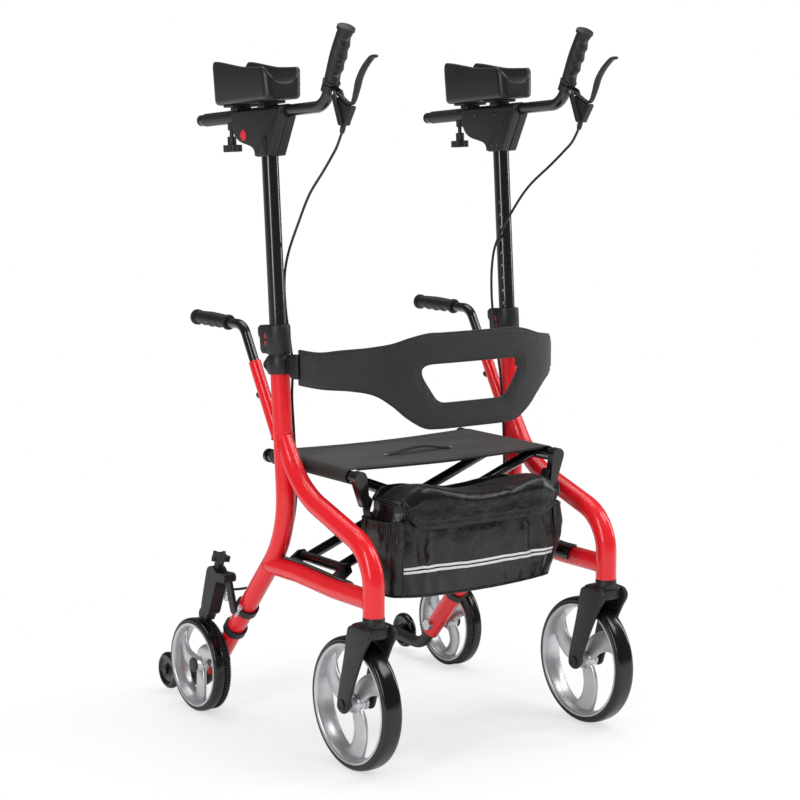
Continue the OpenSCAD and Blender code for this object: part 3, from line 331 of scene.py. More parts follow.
cable_line = smooth_line(cable_route, cable_steps)
for side, sign in SIDES:
    for part, line in (("upper", cable_line[:cable_join + 1]), ("lower", cable_line[cable_join:])):
        cable = new_piece(f"{side}_cable_{part}", tube(line, cable_d / 2, 14), sheath, sign)
        if part == "upper":
            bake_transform(cable)
            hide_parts(f"{side}_brake_cable")
        else:
            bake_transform(cable)


# Side frames: bent steel tube, 37 to 40 mm thick, welded and powder coated bright red.
# Upright and rear leg are one tube; the front leg with its brace, and the short socket of the
# push handle, are welded on. The weld beads show as small rolls under the paint.

# The powder is glossy: saturated red under a clear skin with a faint orange peel of about 4 mm.
enamel = surface(
    "red_powder_coat", (0.09, 3.0), srgb("#da101c"), srgb("#e61a27"), (0.24, 0.36),
    {"Specular IOR Level": 0.3, "Coat Weight": 0.5, "Coat Roughness": 0.06})
relief(enamel, pattern(enamel, "Noise", 0.004, 2.0), 0.03, 0.0004)


def paint(name, material):
    """Gives the carried over CAD solid of each side its finish."""
    for side, sign in SIDES:
        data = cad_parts[f"{side}_{name}"].data
        data.materials.clear()
        data.materials.append(material)


def pair(name, shape, material, body, solid=None, sharp=40.0):
    """A piece of each side on one of its bodies, in a material, and the solid that it stands for."""
    both = []
    for side, sign in SIDES:
        made = new_piece(f"{side}_{name}", shape, material, sign, sharp)
        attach(made, f"{side}_{body}")
        if solid:
            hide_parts(f"{side}_{solid}")
        both.append(made)
    return both


half_track = 272.5
knee = np.array((-52.0, 400.0))
lean = math.radians(4.2)
rear_axle_at = np.array((220.0, 94.0))
leg_dir = (rear_axle_at - knee) / np.linalg.norm(rear_axle_at - knee)
upright_dir = np.array((math.sin(lean), math.cos(lean)))


def bent_line(points, radii, step=3.0):
    """A centreline in the side plane with its corners rounded, as close points."""
    p = [np.array(q, float) for q in points]
    out = [p[0]]
    for k in range(1, len(p) - 1):
        a = (p[k] - p[k - 1]) / np.linalg.norm(p[k] - p[k - 1])
        b = (p[k + 1] - p[k]) / np.linalg.norm(p[k + 1] - p[k])
        turn = math.atan2(a[0] * b[1] - a[1] * b[0], a @ b)
        back = radii[k] * math.tan(abs(turn) / 2)
        start = p[k] - a * back
        centre = start + math.copysign(radii[k], turn) * np.array((-a[1], a[0]))
        for t in np.linspace(0, 1, max(6, int(radii[k] * abs(turn) / step))):
            c, s = math.cos(turn * t), math.sin(turn * t)
            q = start - centre
            out.append(centre + np.array((c * q[0] - s * q[1], s * q[0] + c * q[1])))
    out.append(p[-1])
    fine = []
    for a, b in zip(out[:-1], out[1:]):
        count = max(1, int(np.linalg.norm(b - a) / step))
        fine.extend(a + (b - a) * t for t in np.arange(count) / count)
    fine.append(out[-1])
    return np.array(fine)


def weld_ring(trunk, trunk_r, branch_at, branch_dir, branch_r, length, count=72):
    """The closed line where a round branch meets a bent trunk, both in the side plane."""
    across = np.array((-branch_dir[1], branch_dir[0]))
    found = []
    for k in range(count):
        a = 2 * math.pi * k / count
        x = branch_r * math.sin(a)
        off = branch_r * math.cos(a)
        steps = np.linspace(0, length, 500)
        spots = branch_at + branch_dir * steps[:, None] + across * off
        gap = np.min(np.linalg.norm(spots[:, None, :] - trunk[None, :, :], axis=2), axis=1)
        inside = np.hypot(gap, x) < trunk_r
        last = np.nonzero(inside)[0]
        s = steps[last[-1]] if len(last) else 0.0
        y, z = branch_at + branch_dir * s + across * off
        found.append((half_track + x, y, z))
    return np.array(found)


def coped(shape, trunk, trunk_r):
    """A tube without the end that would stand inside the tube it is welded to."""
    verts = np.array(shape[0])
    off = np.linalg.norm(verts[:, None, 1:] - trunk[None, :, :], axis=2).min(axis=1)
    gap = np.hypot(off, verts[:, 0] - half_track)
    kept = [face for face in shape[1] if gap[list(face)].min() >= trunk_r]
    used = sorted({i for face in kept for i in face})
    place = {old: new for new, old in enumerate(used)}
    faces = [tuple(place[i] for i in face) for face in kept]
    return [shape[0][i] for i in used], faces, [shape[2][i] for i in used]


leg_r, leg_bore, brace_r, bead_r = 18.7, 16.6, 19.0, 1.7
leg_line = bent_line([knee + upright_dir * 375, knee, rear_axle_at + leg_dir * 25], [0, 200, 0])
# close points where the front leg meets the upright, wider ones below
front_top = np.array((-37.9, 592.0))
front_fine = bent_line([front_top, (-100, 491), (-342, 412), (-342, 297)], [0, 180, 90, 0], 1.0)
front_line = np.concatenate([front_fine[:90], front_fine[90:-1:3], front_fine[-1:]])
front_dir = np.array((-62.1, -101.0)) / np.linalg.norm((-62.1, -101.0))
front_r = np.interp(run_of(front_line), [0, 40, 190], [15.0, 17.4, 20.0])
socket_lean = math.radians(31)
socket_dir = np.array((math.sin(socket_lean), math.cos(socket_lean)))
socket_top = np.array((62.0, 718.0))
brace_dir = np.array((-1.0, 0.0))
brace_line = bent_line([(8, 331), (-95, 332), (-215, 325), (-342, 325)], [0, 260, 260, 0])
seams = [
    weld_ring(leg_line, leg_r, front_top, front_dir, 17.7, 110),
    weld_ring(leg_line, leg_r, socket_top - socket_dir * 158, socket_dir, 12.0, 150),
    weld_ring(leg_line, leg_r, np.array((10.0, 331.5)), brace_dir, brace_r, 110),
    weld_ring(front_line, 20.2, np.array((-342.0, 325.0)), -brace_dir, brace_r, 60)]
paint("rear_leg", enamel)
front = tube([(half_track, *p) for p in front_line], front_r, 96)
brace = tube([(half_track, *p) for p in brace_line], brace_r, 48)
# the bore of the upright stays free for the post
pipes = joined(coped(front, leg_line, leg_bore), brace)
pair("front_tube", pipes, enamel, "frame", "front_leg")
beads = []
for ring in seams:
    ripple = bead_r + 0.25 * np.sin(np.arange(len(ring)) * 2 * math.pi / 4)
    beads.append(tube(ring, ripple, 8, closed=True))
pair("weld_beads", joined(*beads), enamel, "frame")


# Fold brackets: pressed steel saddles on the lower braces, with two ears and a hinge pin,
# painted gloss black. They are bolted to the brace through its inner side.
# The enamel is sprayed: near black, wet looking, with a slight waviness of about 8 mm.
black_enamel = surface(
    "gloss_black_enamel", (0.008, 2.0), srgb("#060607"), srgb("#0e0e0f"), (0.16, 0.28),
    {"Coat Weight": 0.5, "Coat Roughness": 0.04})
relief(black_enamel, pattern(black_enamel, "Noise", 0.008, 2.0), 0.02, 0.0004)

saddle_front, saddle_rear, hinge_x, hinge_z = -252.0, -28.0, 232.0, 352.0


def saddle_shape():
    """A pressed shell on the inner upper quarter of the brace."""
    rows = [p for p in brace_line if saddle_front <= p[0] <= saddle_rear]
    turns = np.radians(np.linspace(84, 190, 14))
    ring = [(23.0, a) for a in turns] + [(19.1, a) for a in turns[::-1]]
    verts = [(half_track + r * math.cos(a), y, z + r * math.sin(a)) for y, z in rows for r, a in ring]
    return verts, capped(len(rows), len(ring)), None


shapes = [saddle_shape(), tube([(hinge_x, -195.2, hinge_z), (hinge_x, -34.8, hinge_z)], 5.0, 24)]
for y, z in ((-191.7, 327.0), (-38.3, 331.0)):
    ear = [(220, hinge_z - 6), (225, hinge_z + 11), (239, hinge_z + 11), (264, z + 15), (262, z - 6),
           (240, z + 4)]
    shapes.append(([(u, y + w, v) for w in (-3.5, 3.5) for u, v in ear], capped(2, len(ear)), None))
pair("fold_saddle", joined(*shapes), black_enamel, "frame", "fold_bracket")


# Screws: small zinc or black button heads with a hexagon socket. One tree sets a head on every
# point of a list, turned to the way the point faces, so each group of screws is one mesh.
def point_tree(name, sizes, result):
    """A geometry tree that starts at points, with some sizes and a finish: the tree and its inputs."""
    made = bpy.data.node_groups.new(name, "GeometryNodeTree")
    sockets = [("Points", "Geometry")] + [(size, "Float") for size in sizes] + [("Finish", "Material")]
    for label, kind in sockets:
        made.interface.new_socket(label, in_out="INPUT", socket_type="NodeSocket" + kind)
    made.interface.new_socket(result, in_out="OUTPUT", socket_type="NodeSocketGeometry")
    return made, add_node(made, "NodeGroupInput").outputs


def spread_on_points(tree, given, shape, attribute, axis, **settings):
    """Ends a tree: the shape on each point, turned along the point's own attribute, in the finish."""
    way = add_node(tree, "GeometryNodeInputNamedAttribute", {"Name": attribute}, data_type="FLOAT_VECTOR")
    turned = add_node(tree, "FunctionNodeAlignRotationToVector", {
        "Vector": way.outputs["Attribute"]}, axis=axis, **settings)
    spread = add_node(tree, "GeometryNodeInstanceOnPoints", {
        "Points": given["Points"], "Instance": shape, "Rotation": turned.outputs["Rotation"]})
    real = add_node(tree, "GeometryNodeRealizeInstances", {"Geometry": spread.outputs["Instances"]})
    painted = add_node(tree, "GeometryNodeSetMaterial", {
        "Geometry": real.outputs["Geometry"], "Material": given["Finish"]})
    result = add_node(tree, "NodeGroupOutput")
    tree.links.new(painted.outputs["Geometry"], result.inputs[0])
    return tree


def scaled(tree, value, share):
    """A share of a value in a tree."""
    return add_node(tree, "ShaderNodeMath", {0: value, 1: share}, operation="MULTIPLY").outputs["Value"]


def lifted(tree, mesh, height):
    """A mesh in a tree, moved up."""
    up = add_node(tree, "ShaderNodeCombineXYZ", {"Z": height})
    made = add_node(tree, "GeometryNodeTransform", {"Geometry": mesh, "Translation": up.outputs["Vector"]})
    return made.outputs["Geometry"]


def screw_tree():
    """Geometry nodes: a button head on each point, along the point's own normal."""
    tree, given = point_tree("button_screws", ["Head radius", "Head height"], "Screws")
    radius, height = given["Head radius"], given["Head height"]
    head = add_node(tree, "GeometryNodeMeshCylinder", {
        "Vertices": 24, "Radius": radius, "Depth": height}, fill_type="NGON")
    crown = add_node(tree, "GeometryNodeMeshCone", {
        "Vertices": 24, "Radius Top": scaled(tree, radius, 0.72), "Radius Bottom": radius, "Depth": height},
        fill_type="NGON")
    hole = add_node(tree, "GeometryNodeMeshCylinder", {
        "Vertices": 6, "Radius": scaled(tree, radius, 0.4), "Depth": height}, fill_type="NGON")
    raised = lifted(tree, crown.outputs["Mesh"], scaled(tree, height, 0.5))
    cut = add_node(tree, "GeometryNodeMeshBoolean", {0: raised}, operation="DIFFERENCE")
    tree.links.new(lifted(tree, hole.outputs["Mesh"], scaled(tree, height, 1.1)), cut.inputs["Mesh 2"])
    both = add_node(tree, "GeometryNodeJoinGeometry")
    for part in (cut, head):
        tree.links.new(part.outputs["Mesh"], both.inputs["Geometry"])
    return spread_on_points(tree, given, both.outputs["Geometry"], "facing", "Z")


def run_tree(name, tree, points, attributes, values):
    """A plain mesh object from a tree that starts at points with attributes of their own."""
    seed_mesh = bpy.data.meshes.new(name + "_points")
    seed_mesh.from_pydata([tuple(p) for p in points], [], [])
    for key, rows in attributes.items():
        layer = seed_mesh.attributes.new(key, "FLOAT_VECTOR", "POINT")
        layer.data.foreach_set("vector", np.array(rows, np.float32).ravel())
    worker = bpy.data.objects.new(name + "_points", seed_mesh)
    scene.collection.objects.link(worker)
    modifier = worker.modifiers.new("tree", "NODES")
    modifier.node_group = tree
    for item in tree.interface.items_tree:
        if item.in_out == "INPUT" and item.name in values:
            modifier[item.identifier] = values[item.name]
    graph = bpy.context.evaluated_depsgraph_get()
    data = bpy.data.meshes.new_from_object(worker.evaluated_get(graph), depsgraph=graph)
    data.name = name
    worker.modifiers.remove(modifier)
    bpy.data.objects.remove(worker)
    return smooth_object(name, data, 35)


button_screws = screw_tree()


def screws(name, spots, radius, height, finish, sign, body):
    """Button heads at (x, y, z, facing) places in millimetres on the left side, or mirrored."""
    points = [(mm * s[0] * sign, mm * s[1], mm * s[2]) for s in spots]
    ways = [(s[3][0] * sign, s[3][1], s[3][2]) for s in spots]
    made = run_tree(name, button_screws, points, {"facing": ways}, {
        "Head radius": radius * mm, "Head height": height * mm, "Finish": finish})
    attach(made, body)


def screw_pair(name, spots, radius, height, finish, body):
    """The same button heads on both sides."""
    for side, sign in SIDES:
        screws(f"{side}_{name}", spots, radius, height, finish, sign, f"{side}_{body}")


screw_pair("frame_screws", [
    (half_track - 23.2, -70, 338, (-1, 0, 0.15)), (half_track - 23.2, -160, 336, (-1, 0, 0.15)),
    (half_track + 18.4, 210.5, 104.5, (1, 0, 0)), (half_track - 18.4, 231, 83, (-1, 0, 0))],
    4.2, 1.6, plated_steel, "frame")


# Caster forks: glass filled nylon, moulded in one piece round a steel stem. A round crown turns
# under the front leg, two cheeks run back and down to the axle, and a steel bolt holds the wheel.
# The plastic is satin black with a fine spark grain, drawn at 0.9 mm, coarser than real, to show.
moulded = surface(
    "moulded_black_nylon", (0.03, 4.0), srgb("#161617"), srgb("#212123"), (0.36, 0.54),
    {"Specular IOR Level": 0.45})
soft_edge = add_node(moulded.node_tree, "ShaderNodeBevel", {"Radius": 0.0009}, samples=4)
relief(moulded, pattern(moulded, "Voronoi", 0.0009), 0.12, 0.0003, soft_edge.outputs["Normal"])


def resampled(outline, gap):
    """A closed outline with points about a gap apart, its corners kept."""
    p = np.array(outline, float)
    out = []
    for a, b in zip(p, np.roll(p, -1, axis=0)):
        count = max(1, int(np.linalg.norm(b - a) / gap))
        out.extend(a + (b - a) * t for t in np.arange(count) / count)
    return np.array(out)


def inset(outline, by):
    """The outline moved inward along its corner normals; it runs anticlockwise."""
    ahead = np.roll(outline, -1, axis=0) - outline
    ahead /= np.linalg.norm(ahead, axis=1)[:, None]
    back = np.roll(ahead, 1, axis=0)
    normal = np.stack([-(ahead + back)[:, 1], (ahead + back)[:, 0]], axis=1)
    size = np.linalg.norm(normal, axis=1)[:, None]
    normal /= np.maximum(size, 1e-6)
    stretch = 1 / np.maximum(0.55, size / 2)
    return outline + normal * by * stretch


def both_ways(half):
    """A list of (size, w) made whole by its mirror image in w; a point at w = 0 stays single."""
    return half + [(size, -w) for size, w in reversed(half) if w]


def plate(outline, thick, edge, steps=3):
    """A plate with rounded rims: points (u, v, w) with w from minus to plus half the thickness."""
    outline = np.array(outline, float)
    area = np.sum(outline[:, 0] * np.roll(outline[:, 1], -1) - np.roll(outline[:, 0], -1) * outline[:, 1])
    if area < 0:
        outline = outline[::-1]
    rows = []
    for k in range(steps + 1):
        a = math.pi / 2 * k / steps
        rows.append((edge * (1 - math.sin(a)), -thick / 2 + edge * (1 - math.cos(a))))
    rows = both_ways(rows)
    verts = [(u, v, w) for d, w in rows for u, v in inset(outline, d)]
    return verts, capped(len(rows), len(outline)), None


def side_plane(shape, x=0.0):
    """A plate's (u, v, w) as Y, Z and X on the left side plane."""
    return [(half_track + x + w, u, v) for u, v, w in shape[0]], shape[1], None


def lathe(profile, steps=64, closed=False):
    """A ring of revolution about the local w axis from (radius, w) points, as (u, v, w)."""
    verts, n = [], len(profile)
    for k in range(steps):
        a = 2 * math.pi * k / steps
        verts.extend((r * math.cos(a), r * math.sin(a), w) for r, w in profile)
    faces = wall(steps, n, closed, True)
    if not closed:
        for j in (0, n - 1):
            if profile[j][0] > 1e-6:
                faces.append(tuple(k * n + j for k in range(steps)))
    return verts, faces, None


def turned_over(shape, way):
    """A ring of revolution, with its local w axis turned over where the way is -1."""
    return [(u, v, way * w) for u, v, w in shape[0]], shape[1], None


def about_axle(shape, centre, x):
    """A ring of revolution put on an axle across the walker."""
    return [(x + w, centre[0] + u, centre[1] + v) for u, v, w in shape[0]], shape[1], None


def upright(shape, y, z=0.0):
    """A ring of revolution or a plate put on an upright axis in the side plane."""
    return [(half_track + u, y + v, z + w) for u, v, w in shape[0]], shape[1], None


front_axle = np.array((-285.0, 125.0))
stem_y, crown_z, crown_t = -342.0, 269.5, 25.0
fork_gap, cheek_t = 50.0, 8.0
cheek_line = smooth_line([
    (-371, 262), (-366, 277), (-352, 281.5), (-325, 281.5), (-307, 277), (-300.5, 262), (-293, 225),
    (-279, 172), (-269.5, 133), (-270.5, 116), (-285, 109), (-299, 115.5), (-309, 140), (-331, 190),
    (-355, 236)], 6, True)
crown_line = (0, -331.5) + (33, 29.5) * smooth_line([
    (0.92, 0.55), (0.75, 0.86), (0.3, 1.0), (-0.3, 1.0), (-0.75, 0.86), (-0.92, 0.55), (-0.97, 0),
    (-0.92, -0.6), (-0.7, -0.9), (-0.25, -1.02), (0.25, -1.02), (0.7, -0.9), (0.92, -0.6),
    (0.97, 0)], 4, True)
bolt_cap = lathe([(0, 0), (10.2, 0), (11, 0.8), (11, 2.4), (9.6, 3.0), (6, 3.0), (5.2, 1.6), (0, 1.6)], 40)
stem_collar = lathe([(0, 281), (24.5, 281), (25.2, 282.5), (25.2, 284.5), (22.4, 286), (20.9, 287),
                     (20.5, 289), (20.5, 295.6), (19.6, 296.5), (0, 296.5)], 56)
stem = lathe([(0, 296), (7, 296), (7, 336), (0, 336)], 32)
bolt = lathe([(0, -26), (5, -26), (5, 26), (0, 26)], 32)
washer = lathe([(5, 20.6), (8, 20.6), (8, 24.9), (5, 24.9)], 32, True)
shapes = [upright(plate(crown_line, crown_t, 6.0, 4), 0, crown_z), upright(stem_collar, stem_y)]
steel_parts = [about_axle(bolt, front_axle, half_track), upright(stem, stem_y)]
for way in (-1, 1):
    shapes.append(side_plane(plate(cheek_line, cheek_t, 3.0), way * (fork_gap + cheek_t) / 2))
    cap_x = half_track + way * (fork_gap / 2 + cheek_t)
    shapes.append(about_axle(turned_over(bolt_cap, way), front_axle, cap_x))
    steel_parts.append(about_axle(turned_over(washer, way), front_axle, half_track))
pair("fork", joined(*shapes), moulded, "caster_fork", "caster_fork", sharp=50)
pair("fork_bolt", joined(*steel_parts), plated_steel, "caster_fork")


# Front wheels: a die cast rim with three broad spokes that sweep round into the rim, painted
# silver, and a smooth moulded tyre with a crowned tread. They turn on the fork's bolt.
# The lacquer is satin: bright, slightly cloudy, with a fine sparkle drawn at 0.7 mm.
cast_silver = surface(
    "silver_painted_casting", (0.04, 3.0), srgb("#b2b4b7"), srgb("#d8dadc"), (0.28, 0.38),
    {"Metallic": 0.76})
relief(cast_silver, pattern(cast_silver, "Noise", 0.0007, 1.0), 0.08, 0.0002)
# The tyre is black polyurethane with a soft shine that dulls in patches where it has rolled.
tyre_rubber = surface(
    "moulded_tyre_rubber", (0.014, 6.0), srgb("#08080a"), srgb("#121214"), (0.10, 0.24))
relief(tyre_rubber, pattern(tyre_rubber, "Noise", 0.0012, 2.0), 0.10, 0.0003)

spoke_count = 3


def spoke(base, hub_r, rim_r, lean_out, steps=22, across=20):
    """A broad swept spoke: a rounded bar that widens and curls round as it nears the rim."""
    verts = []
    for i in range(steps + 1):
        s = i / steps
        r = hub_r * 0.7 + (rim_r - hub_r * 0.7) * s
        middle = base + math.radians(4 + 32 * s ** 1.6)
        half = (0.40 * hub_r * (1 - s) ** 1.2 + (0.2 + 0.1 * s ** 3) * rim_r * s ** 0.5 + 5.0 * (1 - s)) / r
        thick = 15.0 - 6.5 * s + 3.0 * s ** 4
        lift = lean_out * math.sin(math.pi * min(1, s * 1.1))
        for j in range(across):
            a = 2 * math.pi * j / across
            c, d = math.cos(a), math.sin(a)
            u = math.copysign(abs(c) ** 0.55, c)
            v = math.copysign(abs(d) ** 0.75, d)
            spin = middle + half * u
            w = lift + thick / 2 * v * (1 - 0.25 * u * u)
            verts.append((r * math.cos(spin), r * math.sin(spin), w))
    return verts, capped(steps + 1, across), None


def rim_shapes(rim_r, width, hub_r, bore_r, hub_half, lean_out):
    """A rim's band with rolled lips, its spokes and a hub with a bore."""
    w = width / 2
    band = both_ways([
        (rim_r, -w), (rim_r - 2.0, -w - 0.6), (rim_r - 4.6, -w + 0.4), (rim_r - 6.4, -w + 3.5),
        (rim_r - 7.0, -w + 8), (rim_r - 8.2, -w + 12), (rim_r - 8.8, 0)])
    hub = both_ways([
        (bore_r, -hub_half), (hub_r * 0.62, -hub_half), (hub_r * 0.72, -hub_half + 1.4), (hub_r * 0.8, -9),
        (hub_r, -6)])
    bases = [2 * math.pi * k / spoke_count for k in range(spoke_count)]
    bars = [spoke(base, hub_r, rim_r - 6.5, lean_out) for base in bases]
    return joined(lathe(band, 128, True), lathe(hub, 56, True), *bars)


def tyre_profile(rim_r, tyre_r, width):
    """Half round tread with a small groove at each shoulder, seated on the rim."""
    w, rise = width / 2, tyre_r - rim_r
    groove = ((0, 0), (0.14, 0.2), (0.24, -0.3), (0.28, -1.0), (0.34, -0.6))
    half = [(rim_r + rise * k, w + x) for k, x in groove]
    for a in np.linspace(12, 90, 14)[:-1]:
        c, s = math.cos(math.radians(a)), math.sin(math.radians(a))
        half.append((rim_r + rise * (0.34 + 0.66 * s ** 0.85), (w - 0.6) * c ** 0.62))
    return both_ways(half + [(tyre_r, 0.0)])


front_wheel_r, front_rim_r, front_w = 125.0, 111.875, 40.0
rim = rim_shapes(front_rim_r, front_w, hub_r=21, bore_r=5.05, hub_half=20, lean_out=0)
pair("front_casting", about_axle(rim, front_axle, half_track), cast_silver, "front_wheel",
     "front_rim", sharp=45)
tread = lathe(tyre_profile(front_rim_r, front_wheel_r, front_w), 144, True)
pair("front_tread", about_axle(tread, front_axle, half_track), tyre_rubber, "front_wheel",
     "front_tyre", sharp=60)


# Rear wheels: the same casting and tyre in a smaller size, on a bolt through the rear leg.
# The inner half of the tread is a toothed ring of black plastic, which the brake shoe presses.
rear_wheel_x = 311.0
rear_wheel_r, rear_rim_r, rear_w = 94.0, 84.13, 36.0
ring_w, ring_teeth = 12.0, 96


def teeth_tree():
    """Geometry nodes: small upright blocks round a circle, one for each tooth of the brake ring."""
    tree, given = point_tree("brake_ring_teeth", ["Tooth width", "Tooth depth", "Tooth length"], "Teeth")
    size = add_node(tree, "ShaderNodeCombineXYZ", {
        "X": given["Tooth length"], "Y": given["Tooth width"], "Z": given["Tooth depth"]})
    block = add_node(tree, "GeometryNodeMeshCube", {"Size": size.outputs["Vector"]})
    return spread_on_points(tree, given, block.outputs["Mesh"], "facing", "Z", pivot_axis="X")


ring_teeth_tree = teeth_tree()
angles = 2 * math.pi * np.arange(ring_teeth) / ring_teeth
tread_x = rear_wheel_x + ring_w / 2 + 0.5
ring_x = rear_wheel_x - rear_w / 2 + ring_w / 2
teeth_r = rear_wheel_r - 3
ring_band = both_ways([(rear_rim_r - 1, -6), (rear_wheel_r - 5, -6), (rear_wheel_r - 4, -5)])
hub_cap = [(0, 0), (12.5, 0), (14.5, 0.8), (15, 2.4), (14, 4.0), (10.5, 4.6), (0, 4.8)]
paint("rear_axle", plated_steel)
rim = rim_shapes(rear_rim_r, rear_w, hub_r=19, bore_r=6.05, hub_half=13.9, lean_out=4.5)
pair("rear_casting", about_axle(rim, rear_axle_at, rear_wheel_x), cast_silver, "rear_wheel",
     "rear_rim", sharp=45)
tread = lathe(tyre_profile(rear_rim_r, rear_wheel_r, rear_w - ring_w - 1), 128, True)
pair("rear_tread", about_axle(tread, rear_axle_at, tread_x), tyre_rubber, "rear_wheel",
     "rear_tyre", sharp=60)
ring = about_axle(lathe(ring_band, 128, True), rear_axle_at, ring_x)
pair("brake_ring", ring, moulded, "rear_wheel")
cap = about_axle(lathe(hub_cap, 48), rear_axle_at, rear_wheel_x + 13.6)
pair("rear_hub_cap", cap, moulded, "rear_wheel")
for side, sign in SIDES:
    spots = [(sign * ring_x * mm, (rear_axle_at[0] + teeth_r * math.cos(a)) * mm,
              (rear_axle_at[1] + teeth_r * math.sin(a)) * mm) for a in angles]
    ways = [(0, math.cos(a), math.sin(a)) for a in angles]
    teeth = run_tree(f"{side}_brake_ring_teeth", ring_teeth_tree, spots, {"facing": ways}, {
        "Tooth width": 0.0030, "Tooth depth": 0.0036, "Tooth length": 0.0105, "Finish": moulded})
    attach(teeth, f"{side}_rear_wheel")


# Anti tip arms: bent plastic arms plugged into the ends of the rear legs, each with a small
# solid wheel with a dished face that turns on a pin.
tip_axle, tip_x = np.array((372.0, 45.0)), 297.0
tip_dish = both_ways([(4.05, -8), (9, -8), (11, -6.5), (13, -4.5), (24, -4.5), (26, -6), (28.5, -8.4),
                      (31, -9), (34, -8), (36.8, -5.4), (38, -2)])
paint("anti_tip_arm", moulded)
wheel = about_axle(lathe(tip_dish, 72, True), tip_axle, tip_x)
pair("tip_wheel", wheel, tyre_rubber, "anti_tip_wheel", "anti_tip_wheel", sharp=50)


# Rear brakes: two plastic clamps and a strut on each rear leg carry a sprung brake body with a
# curved shoe over the wheel. A star knob on top sets how hard the wheel drags.
spring_at, spring_dir = np.array((143.0, 258.0)), np.array((0.345, -0.938))
spring_x, spring_turns, spring_pitch, coil_r, coil_steps = 290.0, 7, 3.6, 4.6, 16
spring_side = np.array((-spring_dir[1], spring_dir[0]))
coil = []
for k in range(spring_turns * coil_steps + 1):
    a = 2 * math.pi * k / coil_steps
    spot = spring_at + spring_dir * spring_pitch * k / coil_steps + spring_side * coil_r * math.cos(a)
    coil.append((spring_x + coil_r * math.sin(a), *spot))
# the adjuster of the cable: a hexagon nut, a neck, a collar and a nose, each from, to and radius
barrel = []
for low, high, r in ((0, 6, 5.4), (6, 16, 3.4), (16, 20, 5.0), (20, 30, 2.4)):
    ends = [(297.0, 84 + 0.62 * k, 236 - 0.78 * k) for k in (low, high)]
    barrel.append(tube(ends, r, 6 if r > 5 else 20))
for name in ("brake_mount", "brake_arm", "drag_knob"):
    paint(name, moulded)
pair("brake_spring", tube(coil, 0.8, 8), plated_steel, "frame")
pair("rear_adjuster", joined(*barrel), cast_silver, "frame")


# Posts: black enamelled tube, 32 mm thick, that slides in the upright for height.
# Their inner sides carry a printed scale of nine numbered marks, one to the inch.
post_r, ink_r = 16.0, 16.12


def on_post(points):
    """Points (x, y, z) of the leaning post's frame, with its origin at the knee, put in place."""
    s, c = math.sin(lean), math.cos(lean)
    return [(half_track + x, knee[0] + y * c + z * s, knee[1] - y * s + z * c) for x, y, z in points]


def in_post(shape):
    """A shape that is drawn in the post's frame."""
    return on_post(shape[0]), shape[1], None


# The ink is pad printed: matt off-white, a little worn, wear drawn at 1.5 mm.
print_ink = surface("screen_printed_ink", (0.0015, 3.0), srgb("#8f8a7e"), srgb("#e9e4d8"), 0.6)


def flat_text(words, height):
    """The faces of a number, as points (u, v) about its middle, and faces."""
    letters = bpy.data.curves.new("scale_number", "FONT")
    letters.body = words
    letters.size = height
    letters.align_x = "CENTER"
    holder = bpy.data.objects.new("scale_number", letters)
    scene.collection.objects.link(holder)
    graph = bpy.context.evaluated_depsgraph_get()
    graph.update()
    flat = bpy.data.meshes.new_from_object(holder.evaluated_get(graph), depsgraph=graph)
    points = [(v.co.x, v.co.y) for v in flat.vertices]
    faces = [tuple(f.vertices) for f in flat.polygons]
    bpy.data.objects.remove(holder)
    bpy.data.meshes.remove(flat)
    return points, faces


paint("post", black_enamel)
mark_pitch, mark_start, mark_count = 25.4, 404.5, 9
mark_turn = math.pi + math.radians(28)
mark_bar = [(-5.0, 0.0), (5.0, 0.0), (5.0, 0.9), (-5.0, 0.9)]
for side, sign in SIDES:
    prints = []
    for k in range(mark_count):
        z = mark_start + k * mark_pitch
        number, number_faces = flat_text(str(mark_count - k), 7.0)
        number = [(sign * u, v + 2.4) for u, v in number]
        for points, faces in ((mark_bar, [(0, 1, 2, 3)]), (number, number_faces)):
            turned = [(mark_turn + u / post_r, v) for u, v in points]
            spots = [(ink_r * math.cos(a), ink_r * math.sin(a), z + v) for a, v in turned]
            prints.append((spots, faces, None))
    scale_print = new_piece(f"{side}_post_scale", in_post(joined(*prints)), print_ink, sign)
    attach(scale_print, f"{side}_post")


# Collars: moulded nylon collars on the uprights. Each guides the post, carries the lever that
# frees it, and clamps a lug that holds the end of the backrest. Red marks show lock and unlock.
# The ink is opaque red on plastic, satin, a little uneven.
red_mark = surface("red_pad_print", (0.002, 2.0), srgb("#c3121c"), srgb("#ea2530"), 0.45)


def post_plate(outline, thick, edge, x=0.0, steps=3):
    """A rounded plate drawn as (y, z) in the post's frame."""
    return across_post(plate(outline, thick, edge, steps), x, 0, 0)


def rounded(points, radius, steps=6):
    """A closed outline with every corner rounded."""
    p = [np.array(q, float) for q in points]
    out = []
    for k, corner in enumerate(p):
        a = p[k - 1] - corner
        b = p[(k + 1) % len(p)] - corner
        la, lb = np.linalg.norm(a), np.linalg.norm(b)
        r = radius[k] if hasattr(radius, "__len__") else radius
        a, b = a / la, b / lb
        half = math.acos(max(-1, min(1, a @ b))) / 2
        back = min(r / math.tan(half), 0.48 * la, 0.48 * lb)
        for t in np.linspace(0, 1, steps):
            out.append(corner + a * back * (1 - t) ** 2 + b * back * t ** 2)
    return np.array(out)


def across_post(shape, x, y, z):
    """A ring of revolution or a plate on an axis across the walker, placed in the post's frame."""
    return on_post([(x + w, y + u, z + v) for u, v, w in shape[0]]), shape[1], None


cheek = rounded([(0, 345), (24, 345), (30, 352), (31, 374), (36, 380), (36, 394), (28, 399), (0, 399)], 5)
ear = rounded([(12, 338), (30, 338), (37, 331), (37, 315), (30, 308), (12, 308)], 5)
lug = rounded([(-6, 340), (-44, 343), (-56, 343), (-56, 296), (-34, 296), (-22, 306), (-6, 306)], 4)
